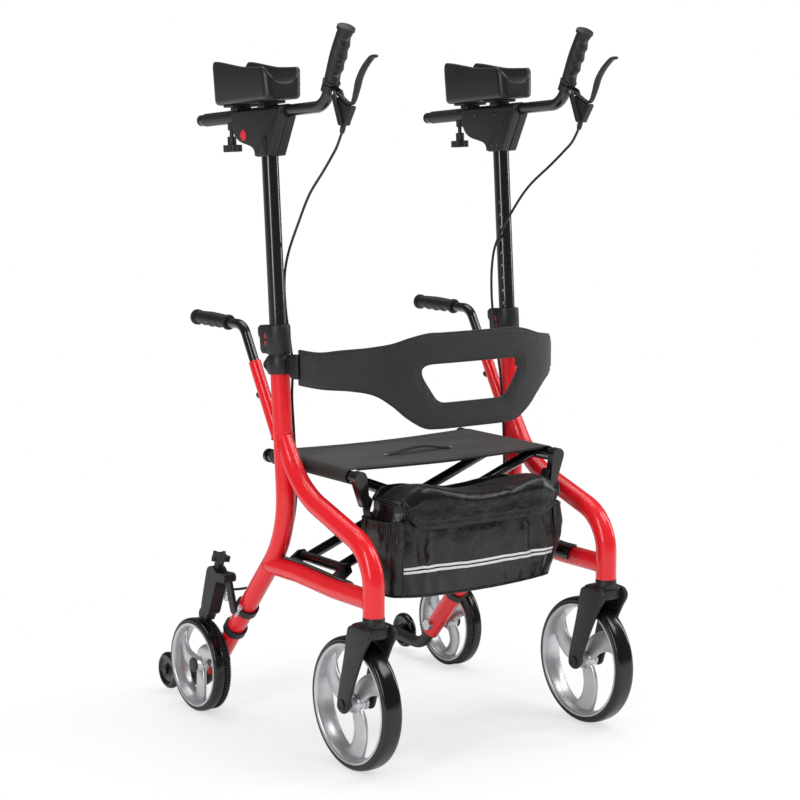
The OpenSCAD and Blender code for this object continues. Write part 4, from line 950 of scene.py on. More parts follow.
# the upper guide, the lower clamp and the neck between them
collar_rings = [
    [(18.6, 344), (22.6, 344), (23.6, 345), (23.6, 395), (22.6, 398), (20.5, 399), (16.5, 399),
     (16.5, 375.5), (18.6, 375.5)],
    [(18.6, 306), (22.2, 306), (23, 307), (23, 339), (22.2, 340), (18.6, 340)],
    [(18.6, 339), (20.6, 339), (20.6, 345), (18.6, 345)]]
lever_pin = lathe([(0, -14), (2, -14), (2, 14), (0, 14)], 24)
clamp_head = lathe([(0, 0), (8.5, 0), (8.5, 2.4), (7.4, 3.6), (4.2, 3.6), (3.4, 2.4), (0, 2.4)], 32)
lock_arrows = ([(5, 375), (12, 375), (8.5, 386)], [(5, 368), (8.5, 357), (12, 368)])
paint("height_lever", moulded)
shapes = [in_post(lathe(ring, 64, True)) for ring in collar_rings]
shapes += [post_plate(ear, 22, 3), post_plate(lug, 7, 2, -6.4), across_post(lever_pin, 0, 33, 388)]
for way in (-1, 1):
    shapes.append(post_plate(cheek, 16, 2, 15.6 * way))
    shapes.append(across_post(turned_over(clamp_head, way), 11 * way, 28, 323))
pair("collar_shell", joined(*shapes), moulded, "frame", "post_collar", sharp=45)
marks = [post_plate(arrow, 0.5, 0.05, x, 1) for x in (-23.7, 23.7) for arrow in lock_arrows]
pair("lock_marks", joined(*marks), red_mark, "frame")
spots = on_post([(-2.7, y, z) for y in (-34, -46) for z in (308, 322, 334)])
screw_pair("lug_screws", [(*p, (1, 0, 0)) for p in spots], 2.6, 1.0, moulded, "frame")


# Arm brackets: two moulded halves bolted together on the top of each post. They hold a steel
# sleeve for the arm bar, two mounts for the forearm pad and the boss of the locking knob.
bar_z = 795.0


def curve4(a, b, c, d, steps=10):
    """A Bezier curve."""
    a, b, c, d = (np.array(q, float) for q in (a, b, c, d))
    return [tuple(a * (1 - t) ** 3 + 3 * b * t * (1 - t) ** 2 + 3 * c * t * t * (1 - t) + d * t ** 3)
            for t in np.linspace(0, 1, steps)]


def along_post_y(shape, y, z):
    """A ring of revolution laid along the post frame's y axis."""
    return on_post([(u, y + w, z + v) for u, v, w in shape[0]]), shape[1], None


bracket_corners = rounded([(-72, 805), (-72, 789), (-26, 714), (24, 714)], [7, 9, 5, 4])
bracket_line = np.vstack([bracket_corners, curve4((25, 716), (21, 750), (95, 726), (103.5, 777), 18),
                          rounded([(104, 782), (104, 805), (90, 805)], [5, 6, 4])[3:-2]])
sleeve = lathe([(11.4, -74), (12.4, -74), (12.7, -73.2), (12.7, 229.2), (12.4, 230), (11.4, 230)], 48, True)
boss = lathe([(4.1, 770), (6.4, 770), (7, 771), (7, 784), (4.1, 784)], 32, True)
boss_y, mount_ys = 136.0, (-1.0, 97.0)
catch = rounded([(-20, 714), (-6, 714), (-6, 752), (-20, 752)], 6.9)
button = lathe([(0, 1.0), (4, 1.0), (5.2, 0.3), (6.4, 0.3), (7.2, 1.4), (9, 1.4), (10, 0.6), (10, 0)], 40)
bracket_bolts = [(-19.0, y, z) for y, z in (
    (-58, 796), (-8, 786), (60, 790), (-10, 726), (8, 726), (-22, 760))]
paint("clamp_knob", moulded)
shapes = [post_plate(bracket_line, 18.6, 2.2, x) for x in (-9.7, 9.7)]
shapes.append(along_post_y(sleeve, 0, bar_z))
for y in mount_ys:
    block = rounded([(y - 13, 803), (y + 13, 803), (y + 11, 815.6), (y - 11, 815.6)], 3)
    shoe = rounded([(y - 17, 811.8), (y + 17, 811.8), (y + 17, 816.8), (y - 17, 816.8)], 1.6)
    shapes += [post_plate(block, 34, 3.0), post_plate(shoe, 58, 1.4)]
shapes.append(in_post(([(u, boss_y + v, w) for u, v, w in boss[0]], boss[1])))
shapes.append(post_plate(catch, 3, 1.2, 20))
pair("bracket_halves", joined(*shapes), moulded, "post", "arm_bracket", sharp=45)
pair("post_button", across_post(button, 19.0, 61, 757), red_mark, "post")
spots = [(*p, (-1, 0, 0)) for p in on_post(bracket_bolts)]
screw_pair("bracket_screws", spots, 3.2, 0.8, black_enamel, "post")


# Forearm pads: moulded integral foam with a smooth skin, a saddle shaped trough with walls that
# sweep up at the elbow. Each is screwed to the two mounts of its bracket.
# The skin is polyurethane: soft black with a satin sheen and a fine leather grain of about 1.4 mm.
skin_foam = surface(
    "moulded_foam_skin", (0.05, 4.0), srgb("#111112"), srgb("#1b1b1d"), (0.30, 0.42),
    {"Sheen Weight": 0.08, "Sheen Roughness": 0.4})
relief(skin_foam, pattern(skin_foam, "Voronoi", 0.0014, feature="DISTANCE_TO_EDGE"), 0.10, 0.0003)

pad_front, pad_len, pad_base, pad_half, pad_corner = -63.0, 198.0, 817.0, 42.0, 15.0
pad_bowl, pad_roll, pad_edge, pad_foot = 3.6, 4.3, 3.0, 9.0


def ease(t):
    """A smooth step from 0 to 1."""
    t = min(1.0, max(0.0, t))
    return t * t * (3 - 2 * t)


def pad_section(y):
    """The pad's outline across, at a distance from its front; the ends are rounded in plan."""
    t = y / pad_len
    near = min(y, pad_len - y)
    tuck = pad_corner - math.sqrt(pad_corner ** 2 - max(0.0, pad_corner - near) ** 2)
    half = pad_half - tuck
    floor_z = 31 + 4 * t
    inner, full = half - 2 * pad_roll, pad_half - 2 * pad_roll
    wall_z = 60 + 6 * ease(t / 0.6) + 17 * ease((t - 0.35) / 0.65) - pad_roll
    rise = (wall_z - floor_z) * (inner / full) ** pad_bowl
    out = []
    for a in np.radians(np.linspace(-90, 0, 6)):
        out.append((half - 11 + pad_foot * math.cos(a), pad_foot + pad_foot * math.sin(a)))
    for a in np.radians(np.linspace(0, 180, 9)):
        out.append((half - pad_roll * (1 - math.cos(a)), floor_z + rise + pad_roll * math.sin(a)))
    for k in np.linspace(0.97, 0, 14):
        out.append((inner * k, floor_z + rise * k ** pad_bowl))
    return np.array(out + [(-x, z) for x, z in out[-2::-1]])


def pad_shape():
    """The pad as stacked sections with rounded ends."""
    ends = [pad_edge * (1 - math.cos(math.pi / 2 * k / 6)) for k in range(6)]
    places = ends + list(np.linspace(pad_edge, 18, 8)) + list(np.linspace(18, pad_len - 18, 26)[1:-1])
    places += list(np.linspace(pad_len - 18, pad_len - pad_edge, 8)) + [pad_len - d for d in reversed(ends)]
    verts = []
    for y in places:
        near = min(1.0, min(y, pad_len - y) / pad_edge)
        outline = inset(pad_section(y), pad_edge * (1 - math.sqrt(1 - (1 - near) ** 2)))
        verts.extend((q[0], pad_front + y, pad_base + q[1]) for q in outline)
    return on_post(verts), capped(len(places), len(outline)), None


for pad in pair("forearm_trough", pad_shape(), skin_foam, "post", "forearm_pad", sharp=70):
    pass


# Arm bars and hand grips: a bent black tube slides in the sleeve, with a ribbed plug in its rear
# end. A soft rubber grip with four finger hollows in front and fine ribs behind is pushed on.
# The rubber is moulded: dull black with a faint powdery bloom of about 6 mm.
soft_rubber = surface("soft_grip_rubber", (0.006, 5.0), srgb("#101011"), srgb("#1c1c1d"), (0.42, 0.62))
relief(soft_rubber, pattern(soft_rubber, "Voronoi", 0.0011), 0.14, 0.0003)


def grip_shape(at, ahead, finger_side, length, radius, ribs, bore, waves=4, sides=56, count=150):
    """A grip along a line: finger hollows on one side, ribs on the other, a rolled end."""
    at, ahead, front = np.array(at), np.array(ahead, float), np.array(finger_side, float)
    across = np.cross(ahead, front)
    turns = [2 * math.pi * j / sides for j in range(sides)]
    verts = []
    for s in np.linspace(0, length, count):
        t = s / length
        body = radius - 2.0 + 0.9 * math.cos(2 * math.pi * (t - 0.5))
        inside = ease((t - 0.06) / 0.05) * ease((0.9 - t) / 0.05)
        hollow = -2.3 * (1 - math.cos(2 * math.pi * waves * (t - 0.08) / 0.82))
        rib = 0.7 * (0.5 + 0.5 * math.cos(2 * math.pi * ribs * t)) ** 2
        for a in turns:
            c = math.cos(a)
            r = body + (hollow * max(0, c) ** 1.2 + rib * max(0, -c + 0.35) ** 0.7) * inside
            if t < 0.05:
                r = radius - 0.4 - 1.4 * (1 - ease(t / 0.018))
            if t > 0.93:
                r = radius - 0.1 - 5.0 * ease((t - 0.975) / 0.025) ** 2
            verts.append(at + ahead * s + r * (c * front + math.sin(a) * across))
    faces = wall(count, sides)
    first, last = len(verts), (count - 1) * sides
    middle = first + sides
    verts.extend(at + bore * (math.cos(a) * front + math.sin(a) * across) for a in turns)
    verts.append(at + ahead * (length + 1.0))
    for j in range(sides):
        i = (j + 1) % sides
        faces += [(j, first + j, first + i, i), (last + j, last + i, middle)]
    return verts, faces, None


grip_lean = math.radians(31)
grip_way = np.array((0.0, -math.sin(grip_lean), math.cos(grip_lean)))
grip_front = np.array((0.0, -math.cos(grip_lean), -math.sin(grip_lean)))
grip_at = np.array((0.0, -196.0, bar_z)) + grip_way * 45
plug = lathe([(0, -8), (9.0, -8), (9.0, 0), (10.4, 0), (11.0, 0.8), (11.0, 2.6), (10.2, 3.6), (10.2, 4.4),
              (11.0, 5.2), (11.0, 6.6), (9.3, 8.4), (0, 9.0)], 40)
paint("arm_bar", black_enamel)
grip = in_post(grip_shape(grip_at, grip_way, grip_front, length=113, radius=17, ribs=26, bore=11.1))
pair("finger_grip", grip, soft_rubber, "arm", "hand_grip", sharp=60)
pair("bar_plug", along_post_y(plug, 242, bar_z), soft_rubber, "arm")


# Hand brakes: a clamp on the bar below each grip, with a pivot pin, a barrel that takes the cable,
# and a moulded lever that reaches out in front of the fingers and ends in a turned out tip.
lever_path = [(-237, 816), (-256, 805), (-274, 795), (-288, 796), (-300, 815), (-311, 836), (-327, 853),
              (-344, 865), (-354, 870), (-366, 870.5)]
lever_line = smooth_line([(0, y, z) for y, z in lever_path], 6)
lever_half = np.interp(np.linspace(0, 1, len(lever_line)), [0, 0.1, 0.35, 0.5, 0.85, 0.94, 0.985, 1.0],
                       [5.0, 5.6, 5.6, 7.6, 7.0, 6.4, 5.6, 4.0])
web_line = [(-240, 808), (-256, 800.5), (-274, 790.5), (-285, 790), (-288, 786), (-264, 756), (-250, 758),
            (-246, 780)]
barrel_foot, barrel_tip = np.array((-256.0, 764.0)), np.array((-248.0, 746.0))
barrel_way = (barrel_tip - barrel_foot) / np.linalg.norm(barrel_tip - barrel_foot)
barrel_side = np.array((-barrel_way[1], barrel_way[0]))
nut_steps = ((7.5, 5.2), (9.3, 4.9), (11.1, 5.2), (12.9, 4.9), (14.7, 5.2))
nut_line = [(4.3, 7.4)] + [(r, low + w) for low, r in nut_steps for w in (0, 1.2)] + [(4.3, 16.0)]
nut = lathe(nut_line, 20, True)
knurl = [(u, *(barrel_foot + barrel_way * w + barrel_side * v)) for u, v, w in nut[0]]
paint("brake_bracket", moulded)
pair("bracket_web", post_plate(web_line, 12.2, 0.8), moulded, "arm")
blade = in_post(tube(lever_line, lever_half, 24, flat=0.52, up=(1, 0, 0)))
pair("lever_blade", blade, moulded, "brake_lever", "brake_lever", sharp=60)
pin_heads = [(*on_post([(10.0 * way, *lever_path[0])])[0], (way, 0, 0)) for way in (1, -1)]
screw_pair("lever_pin", pin_heads, 3.6, 1.0, plated_steel, "arm")
pair("cable_adjuster", in_post((knurl, nut[1])), moulded, "arm")


# Push handles: short bent tubes that slide in the sockets at the back of the uprights, with a
# ribbed grip pushed on and a sprung button that holds the chosen height.
button_foot = socket_top - socket_dir * 62
button_way = np.array((socket_dir[1], -socket_dir[0]))
button = lathe([(0, 10.5), (4.2, 10.5), (4.2, 15), (6.2, 15.4), (6.8, 16.5), (6.8, 19.5), (5.8, 20.6),
                (0, 21)], 32)
spots = [(half_track + u, *(button_foot + button_way * w + socket_dir * v)) for u, v, w in button[0]]
paint("push_handle", black_enamel)
push_at = (half_track, 155.0, 786.0)
grip = grip_shape(push_at, (0, 1, 0), (0, 0, -1), length=130, radius=15.5, ribs=34, bore=9.6)
pair("push_sleeve", grip, soft_rubber, "push_handle", "push_grip", sharp=60)
pair("socket_button", (spots, button[1], None), moulded, "frame")


# Folding cross: two frames of black tube that cross under the seat and turn on a common pin.
# Each hangs on one side's brace and carries the opposite seat rail with its plastic end caps.
paint("cross_frame", black_enamel)
cross_heads = [(0, -46, 441, (0, 1, 0)), (0, -190.5, 441, (0, -1, 0))]
screws("cross_pin_heads", cross_heads, 6.5, 2.2, plated_steel, 1, "cross_a")


# Seat: a sling of dark woven polyester, hemmed round both seat rails, with rolled front and rear
# edges. A webbing pull strap is riveted to its middle, to lift the seat when the walker folds.
woven, tree, shader = new_material("woven_polyester_seat")
# plain weave of 0.6 mm yarn, drawn at 2 mm so that it shows: charcoal with a dry, faint sheen
shader.inputs["Sheen Weight"].default_value = 0.12
shader.inputs["Sheen Roughness"].default_value = 0.5
shader.inputs["Roughness"].default_value = 0.78
# the scale of a wave texture for bands one unit of the UV map apart
unit_wave = 0.314
yarn = 0.002


def bands(material, period, way):
    """The grey output of straight bands across the UV map."""
    tree = material.node_tree
    place = add_node(tree, "ShaderNodeTexCoord")
    made = add_node(tree, "ShaderNodeTexWave", {
        "Vector": place.outputs["UV"], "Scale": unit_wave / period}, bands_direction=way)
    return made.outputs["Fac"]


cross = add_node(tree, "ShaderNodeMath", {
    0: bands(woven, yarn, "X"), 1: bands(woven, yarn, "Y")}, operation="MULTIPLY").outputs["Value"]
total = add_node(tree, "ShaderNodeMath", {
    0: scaled(tree, cross, 0.55), 1: pattern(woven, "Noise", 0.06, 4.0)}, operation="ADD")
shade = add_node(tree, "ShaderNodeMapRange", {
    "Value": total.outputs["Value"], "From Min": 0.3, "From Max": 1.1})
toned(woven, shade.outputs["Result"], srgb("#0d0b0a"), srgb("#241f1d"))
relief(woven, cross, 0.35, 0.0004)

webbing, _, shader = new_material("black_nylon_webbing")
# flat woven tape: ribs about 1.5 mm apart across it, black with a slight shine
shader.inputs["Roughness"].default_value = 0.5
rib = bands(webbing, 1.5, "X")
toned(webbing, rib, srgb("#070707"), srgb("#151516"))
relief(webbing, rib, 0.4, 0.0003)

rail_x, rail_z, wrap_r = 232.0, 530.0, 13.0
seat_front, seat_rear, seat_sag, cloth_t = -210.0, 54.0, 6.0, 2.2
seat_half = 226.5


def seat_height(x, y):
    """The sag of the sling, deepest in the middle, with faint pulls between the rails."""
    u = min(1.0, abs(x) / seat_half)
    pull = 0.8 * math.sin(y / 17.0) * math.sin(math.pi * u) ** 2
    edge = 1.2 * ease((abs(y - (seat_front + seat_rear) / 2) - 116) / 16)
    return rail_z + wrap_r - seat_sag * (1 - u * u) + (pull + edge) * (1 - u ** 4)


def seat_path(y):
    """The sling's line across the walker at one place, from under one rail to under the other."""
    left = [(rail_x + wrap_r * math.cos(a), rail_z + wrap_r * math.sin(a))
            for a in np.linspace(math.radians(-105), math.radians(88), 18)]
    top = [(x, seat_height(x, y)) for x in np.linspace(seat_half, -seat_half, 61)]
    right = [(-x, z) for x, z in reversed(left)]
    return np.array(left + top + right)


def cloth_sheet(rows, thick):
    """A closed sheet from rows of points: both faces and the rims, with UVs in metres."""
    grid = np.array(rows, float)
    m, n = grid.shape[:2]
    du = np.gradient(grid, axis=0)
    dv = np.gradient(grid, axis=1)
    normal = np.cross(du, dv)
    normal /= np.maximum(np.linalg.norm(normal, axis=2), 1e-9)[:, :, None]
    top, low = grid + normal * thick / 2, grid - normal * thick / 2
    run_u, run_v = run_of(grid[:, n // 2]), run_of(grid[m // 2])
    uv = [(run_u[i] * mm, run_v[j] * mm) for i in range(m) for j in range(n)]
    verts = [tuple(p) for p in top.reshape(-1, 3)] + [tuple(p) for p in low.reshape(-1, 3)]
    at = m * n
    faces = []
    for i in range(m - 1):
        for j in range(n - 1):
            a, b, c, d = i * n + j, (i + 1) * n + j, (i + 1) * n + j + 1, i * n + j + 1
            faces += [(a, b, c, d), (at + d, at + c, at + b, at + a)]
    rim = [j for j in range(n)] + [i * n + n - 1 for i in range(1, m)]
    rim += [(m - 1) * n + j for j in reversed(range(n - 1))] + [i * n for i in reversed(range(1, m - 1))]
    for a, b in zip(rim, rim[1:] + rim[:1]):
        faces.append((a, b, at + b, at + a))
    return verts, faces, uv + uv


seat_rows = [[(x, y, z) for x, z in seat_path(y)] for y in np.linspace(seat_front, seat_rear, 46)]
seat = new_piece("seat_cloth", cloth_sheet(seat_rows, cloth_t), woven, sharp=70)


def seat_seam(y, half, lift, radius, sides):
    """A roll or a row of stitches across the sling."""
    return tube([(x, y, seat_height(x, y) + lift) for x in np.linspace(-half, half, 80)], radius, sides)


hems = [seat_seam(y, 218, -0.6, 2.6, 10) for y in (seat_front + 1.2, seat_rear - 1.2)]
hems += [seat_seam(y, 220, 1.2, 0.55, 6) for y in (seat_front + 16, seat_rear - 16)]
hem = new_piece("seat_hems", joined(*hems), woven, sharp=70)
strap_y, strap_half = -96.0, 76.0


def strap_spot(x, lift):
    """A place on the sling under the strap, which wanders a little to the front and back."""
    return x, strap_y + 4 * math.sin(x / 24), seat_height(x, strap_y) + lift


arch = [strap_spot(x, 2.6 + 9 * (1 - (x / strap_half) ** 2) ** 2)
        for x in np.linspace(-strap_half, strap_half, 48)]
pull = new_piece("seat_pull_strap", tube(arch, 7.5, 12, flat=0.24, up=(0, 1, 0)), webbing, sharp=60)
eyelet = lathe([(3.0, 0), (6.0, 0), (6.6, 0.7), (6.2, 1.6), (4.4, 2.0), (3.0, 1.4)], 32, True)
eyelets = [(np.array(eyelet[0]) + strap_spot(x, 2.2), eyelet[1], None) for x in (-74, 74)]
rivets = new_piece("seat_strap_eyelets", joined(*eyelets), cast_silver)
for made in (seat, hem, pull, rivets):
    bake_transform(made)
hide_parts("seat_sling")


# Backrest: a curved band of charcoal foam laminate between two skins, with a rounded opening in
# its panel. Cord piping is sewn round both edges, and a row of stitches holds the skins inside it.
# The skin is brushed tricot: charcoal, soft sheen, fine knit of about 1.1 mm, slow shading of 40 mm.
band_cloth = surface(
    "charcoal_foam_laminate", (0.04, 4.0), srgb("#19191b"), srgb("#262629"), 0.72,
    {"Sheen Weight": 0.15, "Sheen Roughness": 0.45})
relief(band_cloth, pattern(band_cloth, "Voronoi", 0.0011), 0.3, 0.0004)

band_w, band_d, band_y, band_tab = 257.0, 175.0, -95.0, 22.0


def band_curve():
    """The band's middle line in plan, from the right clamp round the front to the left clamp."""
    turn = np.linspace(math.pi, 2 * math.pi, 400)
    x = band_w * np.sign(np.cos(turn)) * np.abs(np.cos(turn)) ** (2 / 3)
    y = band_y - band_d * np.abs(np.sin(turn)) ** (2 / 3)
    ends = [(-band_w, band_y + band_tab)], [(band_w, band_y + band_tab)]
    return np.vstack([ends[0], np.column_stack([x, y]), ends[1]])


plan = band_curve()
plan_run = run_of(plan)
plan_run -= plan_run[-1] / 2


def band_plan(s):
    """The place in plan of a place along the band."""
    return np.array((np.interp(s, plan_run, plan[:, 0]), np.interp(s, plan_run, plan[:, 1])))


def band_s(x):
    """The place along the band of a place across the walker."""
    middle = slice(1, len(plan) - 1)
    return float(np.interp(x, plan[middle, 0], plan_run[middle]))


def band_point(s, z, off):
    """A point of the band: its run, its height and its place through the thickness."""
    x, y = band_plan(s)
    a = band_plan(s + 4) - band_plan(s - 4)
    a /= max(1e-6, np.linalg.norm(a))
    return (x + a[1] * off, y - a[0] * off, z)


# the upper and the lower edge fall in soft curves from the tall panel to the straps
band_lines = [smooth_line(line, 8) for line in (
    [(262, 748), (243, 761), (205, 768), (170, 774), (135, 784), (100, 790.5), (70, 790.5)],
    [(262, 687), (235, 690), (200, 683), (170, 663), (140, 637), (105, 617), (70, 613.5)])]


def band_edges(s):
    """The upper and the lower edge of the band."""
    x = abs(band_plan(s)[0])
    return tuple(float(np.interp(x, line[::-1, 0], line[::-1, 1])) for line in band_lines)


net_step = 4.5
stitch_in = 9.5
end_s = plan_run[-1]
edges = [(s, *band_edges(s)) for s in np.linspace(-end_s, end_s, 300)]
band_outline = [(s, low) for s, high, low in edges] + [(s, high) for s, high, low in edges[::-1]]
band_outline = resampled(band_outline, 5.0)
hole_line = rounded([(-78, 659), (78, 659), (130, 736), (-130, 736)], [34, 34, 28, 28], 14)
band_hole = resampled([(band_s(x), z) for x, z in hole_line], 5.0)


def inside_line(points, line):
    """Which points lie inside a closed line."""
    x, z = points[:, 0][:, None], points[:, 1][:, None]
    a, b = line, np.roll(line, -1, axis=0)
    crosses = (a[:, 1] > z) != (b[:, 1] > z)
    at = a[:, 0] + (z - a[:, 1]) * (b[:, 0] - a[:, 0]) / (b[:, 1] - a[:, 1] + 1e-12)
    return (crosses & (x < at)).sum(axis=1) % 2 == 1


def edge_gap(points, line):
    """The distance of each point from a closed line."""
    a, b = line, np.roll(line, -1, axis=0)
    way = b - a
    t = ((points[:, None, :] - a) * way).sum(axis=2) / np.maximum((way * way).sum(axis=1), 1e-9)
    near = a + np.clip(t, 0, 1)[:, :, None] * way
    return np.linalg.norm(points[:, None, :] - near, axis=2).min(axis=1)


def pad_depth(gap):
    """Half the thickness of the padding at a distance from its edge, with the row of stitches."""
    full = np.sqrt(np.clip(1 - (1 - np.clip(gap / 15, 0, 1)) ** 2, 0, 1))
    return 5.6 * full - 2.4 * np.exp(-((gap - stitch_in) / 1.9) ** 2)


def band_shape():
    """Both skins of the band on one net of triangles, joined along the edges."""
    runs, heights = np.arange(-end_s, end_s, net_step), np.arange(614, 791, net_step)
    net = np.array([(s + (2.2 if j % 2 else 0), z) for j, z in enumerate(heights) for s in runs])
    net = net[inside_line(net, band_outline) & ~inside_line(net, band_hole)]
    net = net[(edge_gap(net, band_outline) > 2.2) & (edge_gap(net, band_hole) > 2.2)]
    flat = np.vstack([band_outline, band_hole, net])
    n, m = len(band_outline), len(band_hole)
    edges = [(k, (k + 1) % n) for k in range(n)] + [(n + k, n + (k + 1) % m) for k in range(m)]
    points, _, faces, _, _, _ = delaunay_2d_cdt([Vector(p) for p in flat], edges, [], 0, 1e-6)
    points = np.array([tuple(p) for p in points])
    faces = np.array([tuple(f) for f in faces])
    middle = points[faces].mean(axis=1)
    faces = faces[inside_line(middle, band_outline) & ~inside_line(middle, band_hole)]
    gap = np.minimum(edge_gap(points, band_outline), edge_gap(points, band_hole))
    depth = pad_depth(gap)
    rim = gap < 1e-4
    verts, index = [], {}
    for face_side in (1, -1):
        for k, (s, z) in enumerate(points):
            if rim[k] and face_side < 0:
                index[k, -1] = index[k, 1]
                continue
            index[k, face_side] = len(verts)
            verts.append(band_point(s, z, 0.0 if rim[k] else face_side * depth[k]))
    shell = [tuple(index[k, 1] for k in f) for f in faces]
    shell += [tuple(index[k, -1] for k in reversed(f)) for f in faces]
    return verts, shell, None


def stitch_tree():
    """Geometry nodes: a short stitch of thread on each point, laid along the seam."""
    tree, given = point_tree("seam_stitches", ["Stitch length", "Thread radius"], "Stitches")
    ball = add_node(tree, "GeometryNodeMeshUVSphere", {"Segments": 8, "Rings": 6, "Radius": 1.0})
    size = add_node(tree, "ShaderNodeCombineXYZ", {
        "X": scaled(tree, given["Stitch length"], 0.5), "Y": given["Thread radius"],
        "Z": given["Thread radius"]})
    loop = add_node(tree, "GeometryNodeTransform", {
        "Geometry": ball.outputs["Mesh"], "Scale": size.outputs["Vector"]})
    return spread_on_points(tree, given, loop.outputs["Geometry"], "along", "X")


# twisted sewing thread: near black, dry, with a fine change of tone at 2 mm
thread = surface("polyester_thread", (0.002,), srgb("#161617"), srgb("#343436"), 0.6)

backrest = new_piece("backrest_band", band_shape(), band_cloth, sharp=80)
cords = [tube([band_point(s, z, 0.0) for s, z in line], 2.1, 10, closed=True)
         for line in (band_outline, band_hole)]
piping = new_piece("backrest_piping", joined(*cords), band_cloth, sharp=80)
stitch_off = float(pad_depth(np.array([stitch_in]))[0]) + 0.1
stitch_points, stitch_ways = [], []
for line in (inset(band_outline, stitch_in), inset(band_hole[::-1], stitch_in)):
    line = resampled(line, 5.5)
    for face_side in (1, -1):
        spots = np.array([band_point(s, z, face_side * stitch_off) for s, z in line])
        stitch_points.extend(spots * mm)
        stitch_ways.extend(np.roll(spots, -1, axis=0) - np.roll(spots, 1, axis=0))
stitches = run_tree("backrest_stitches", stitch_tree(), stitch_points, {"along": stitch_ways}, {
    "Stitch length": 0.0038, "Thread radius": 0.00045, "Finish": thread})
for made in (backrest, piping, stitches):
    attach(made, "right_frame")
    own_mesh(made)
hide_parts("backrest")


# Bag: a soft shopping bag of coated black nylon, hung between the front legs, with elastic side
# pockets, corded seams and two reflective tapes. Its loose cloth sags between the seams.
# The cloth is coated oxford: black with a broad sheen, weave of 1.6 mm and creases of about 14 mm. Its tone
# follows the creases: painted shade in their hollows and painted light on their crests.
nylon = surface(
    "coated_black_nylon", (0.014, 5.0), srgb("#060607"), srgb("#101012"), (0.24, 0.36),
    {"Sheen Weight": 0.06, "Sheen Roughness": 0.35, "Specular IOR Level": 0.45})
folds = relief(nylon, pattern(nylon, "Noise", 0.014, 5.0), 0.42, 0.004)
relief(nylon, pattern(nylon, "Checker", 0.0016), 0.12, 0.0002, folds)
# The tape is set with glass beads: pale grey, bright, with a fine sparkle of about 0.8 mm.
reflective = surface("reflective_tape", (0.0008, 2.0), srgb("#b9bcc0"), srgb("#eceef0"), 0.4)

bag_half, bag_low, bag_high, bag_deep, bag_rear, bag_x = 200.0, 310.0, 505.0, 118.0, -198.0, -9.0


def rim_sink(x):
    """How far the rim and the lid sink in the middle and at the ends, below the two high places."""
    return 17 * (1 - ease(abs(x) / 125)) + 20 * ease((abs(x) - 140) / 55) + 8 * ease(x / 130)


def bag_point(turn, u, out):
    """A point of the hanging bag: round it in degrees, up it as a share, and out from the cloth."""
    c0, s0 = math.cos(math.radians(turn)), math.sin(math.radians(turn))
    c = math.copysign(abs(c0) ** 0.4, c0)
    s = math.copysign(abs(s0) ** 0.4, s0)
    swell = math.sin(math.pi * min(1, u * 1.15))
    deep = bag_deep * (0.72 + 0.28 * u) / 2
    wide = bag_half * (0.94 + 0.06 * swell)
    front = max(0.0, -s)
    x, z = c * wide, bag_low + (bag_high - bag_low) * u
    loose = noise.fractal(Vector((x / 75, z / 95, 0.3 * s)), 0.8, 2.0, 4)
    drag = math.sin((z - 0.75 * abs(x)) / 17.0 + 2.0 * noise.noise(Vector((x / 90, z / 90, 3.0))))
    drag *= ease((abs(x) - 60) / 90) * ease((1 - u) / 0.3)
    gather = math.sin(x / 9.0) * ease((u - 0.72) / 0.25)
    gather += math.sin(s * 11.0) * abs(c) ** 6 * ease((u - 0.3) / 0.6)
    wander = 2.2 * noise.noise(Vector((x / 70, z / 150, 1.0)))
    ridge = 1 - 2 * abs(math.sin((x + 0.12 * z) / 19 + wander)) ** 0.8
    ridge *= ease((u - 0.12) / 0.3) * (0.55 + 0.9 * noise.noise(Vector((x / 50, z / 200, 5.0))))
    pinch = math.sin((x + 0.5 * z) / 5.5 + wander) * ease((0.44 - u) / 0.3) * ease(u / 0.06)
    push = out + 2.6 * loose + (2.2 * drag + 7.0 * ridge + 1.6 * pinch) * front - 1.6 + 1.1 * gather
    push -= 3.4 * abs(c) ** 6 * swell
    droop = 7.0 * (1 - u) ** 4 * math.cos(math.pi / 2 * min(1, abs(x) / bag_half)) + rim_sink(x) * u ** 3
    y = bag_rear - bag_deep / 2 + s * deep - front * 14 * swell
    size = math.hypot(c ** 3, s ** 3) + 1e-6
    return (bag_x + x + push * c ** 3 / size, y + push * s ** 3 / size, z - droop)


bag_turns = np.linspace(0, 360, 360, endpoint=False)
bag_ups = np.linspace(0, 1, 72)
bag_cloth_t = 2.4


def bag_shape():
    """The bag's cloth as one closed wall: outside up, over the rim, inside down and the floor."""
    rows = [[bag_point(a, u, 0.0) for a in bag_turns] for u in bag_ups]
    rows += [[bag_point(a, u, -bag_cloth_t) for a in bag_turns] for u in bag_ups[::-1]]
    rows[-1] = [(x, y, z + bag_cloth_t) for x, y, z in rows[-1]]
    n = len(bag_turns)
    verts = [p for row in rows for p in row]
    faces = wall(len(rows), n)
    for row, way in ((0, 1), (len(rows) - 1, -1)):
        first = row * n
        ring = np.array(rows[row])
        middle = ring.mean(axis=0)
        for share in (0.75, 0.45, 0.15):
            start = len(verts)
            verts.extend(tuple(p) for p in middle + (ring - middle) * share)
            faces.extend((first + j, first + (j + 1) % n, start + (j + 1) % n, start + j) for j in range(n))
            first = start
        faces.append(tuple(range(first, first + n))[::way])
    return verts, faces, None


def bag_patch(turns, ups, out, thick):
    """A sewn on layer that follows the bag's cloth."""
    return cloth_sheet([[bag_point(a, u, out) for u in ups] for a in turns], thick)


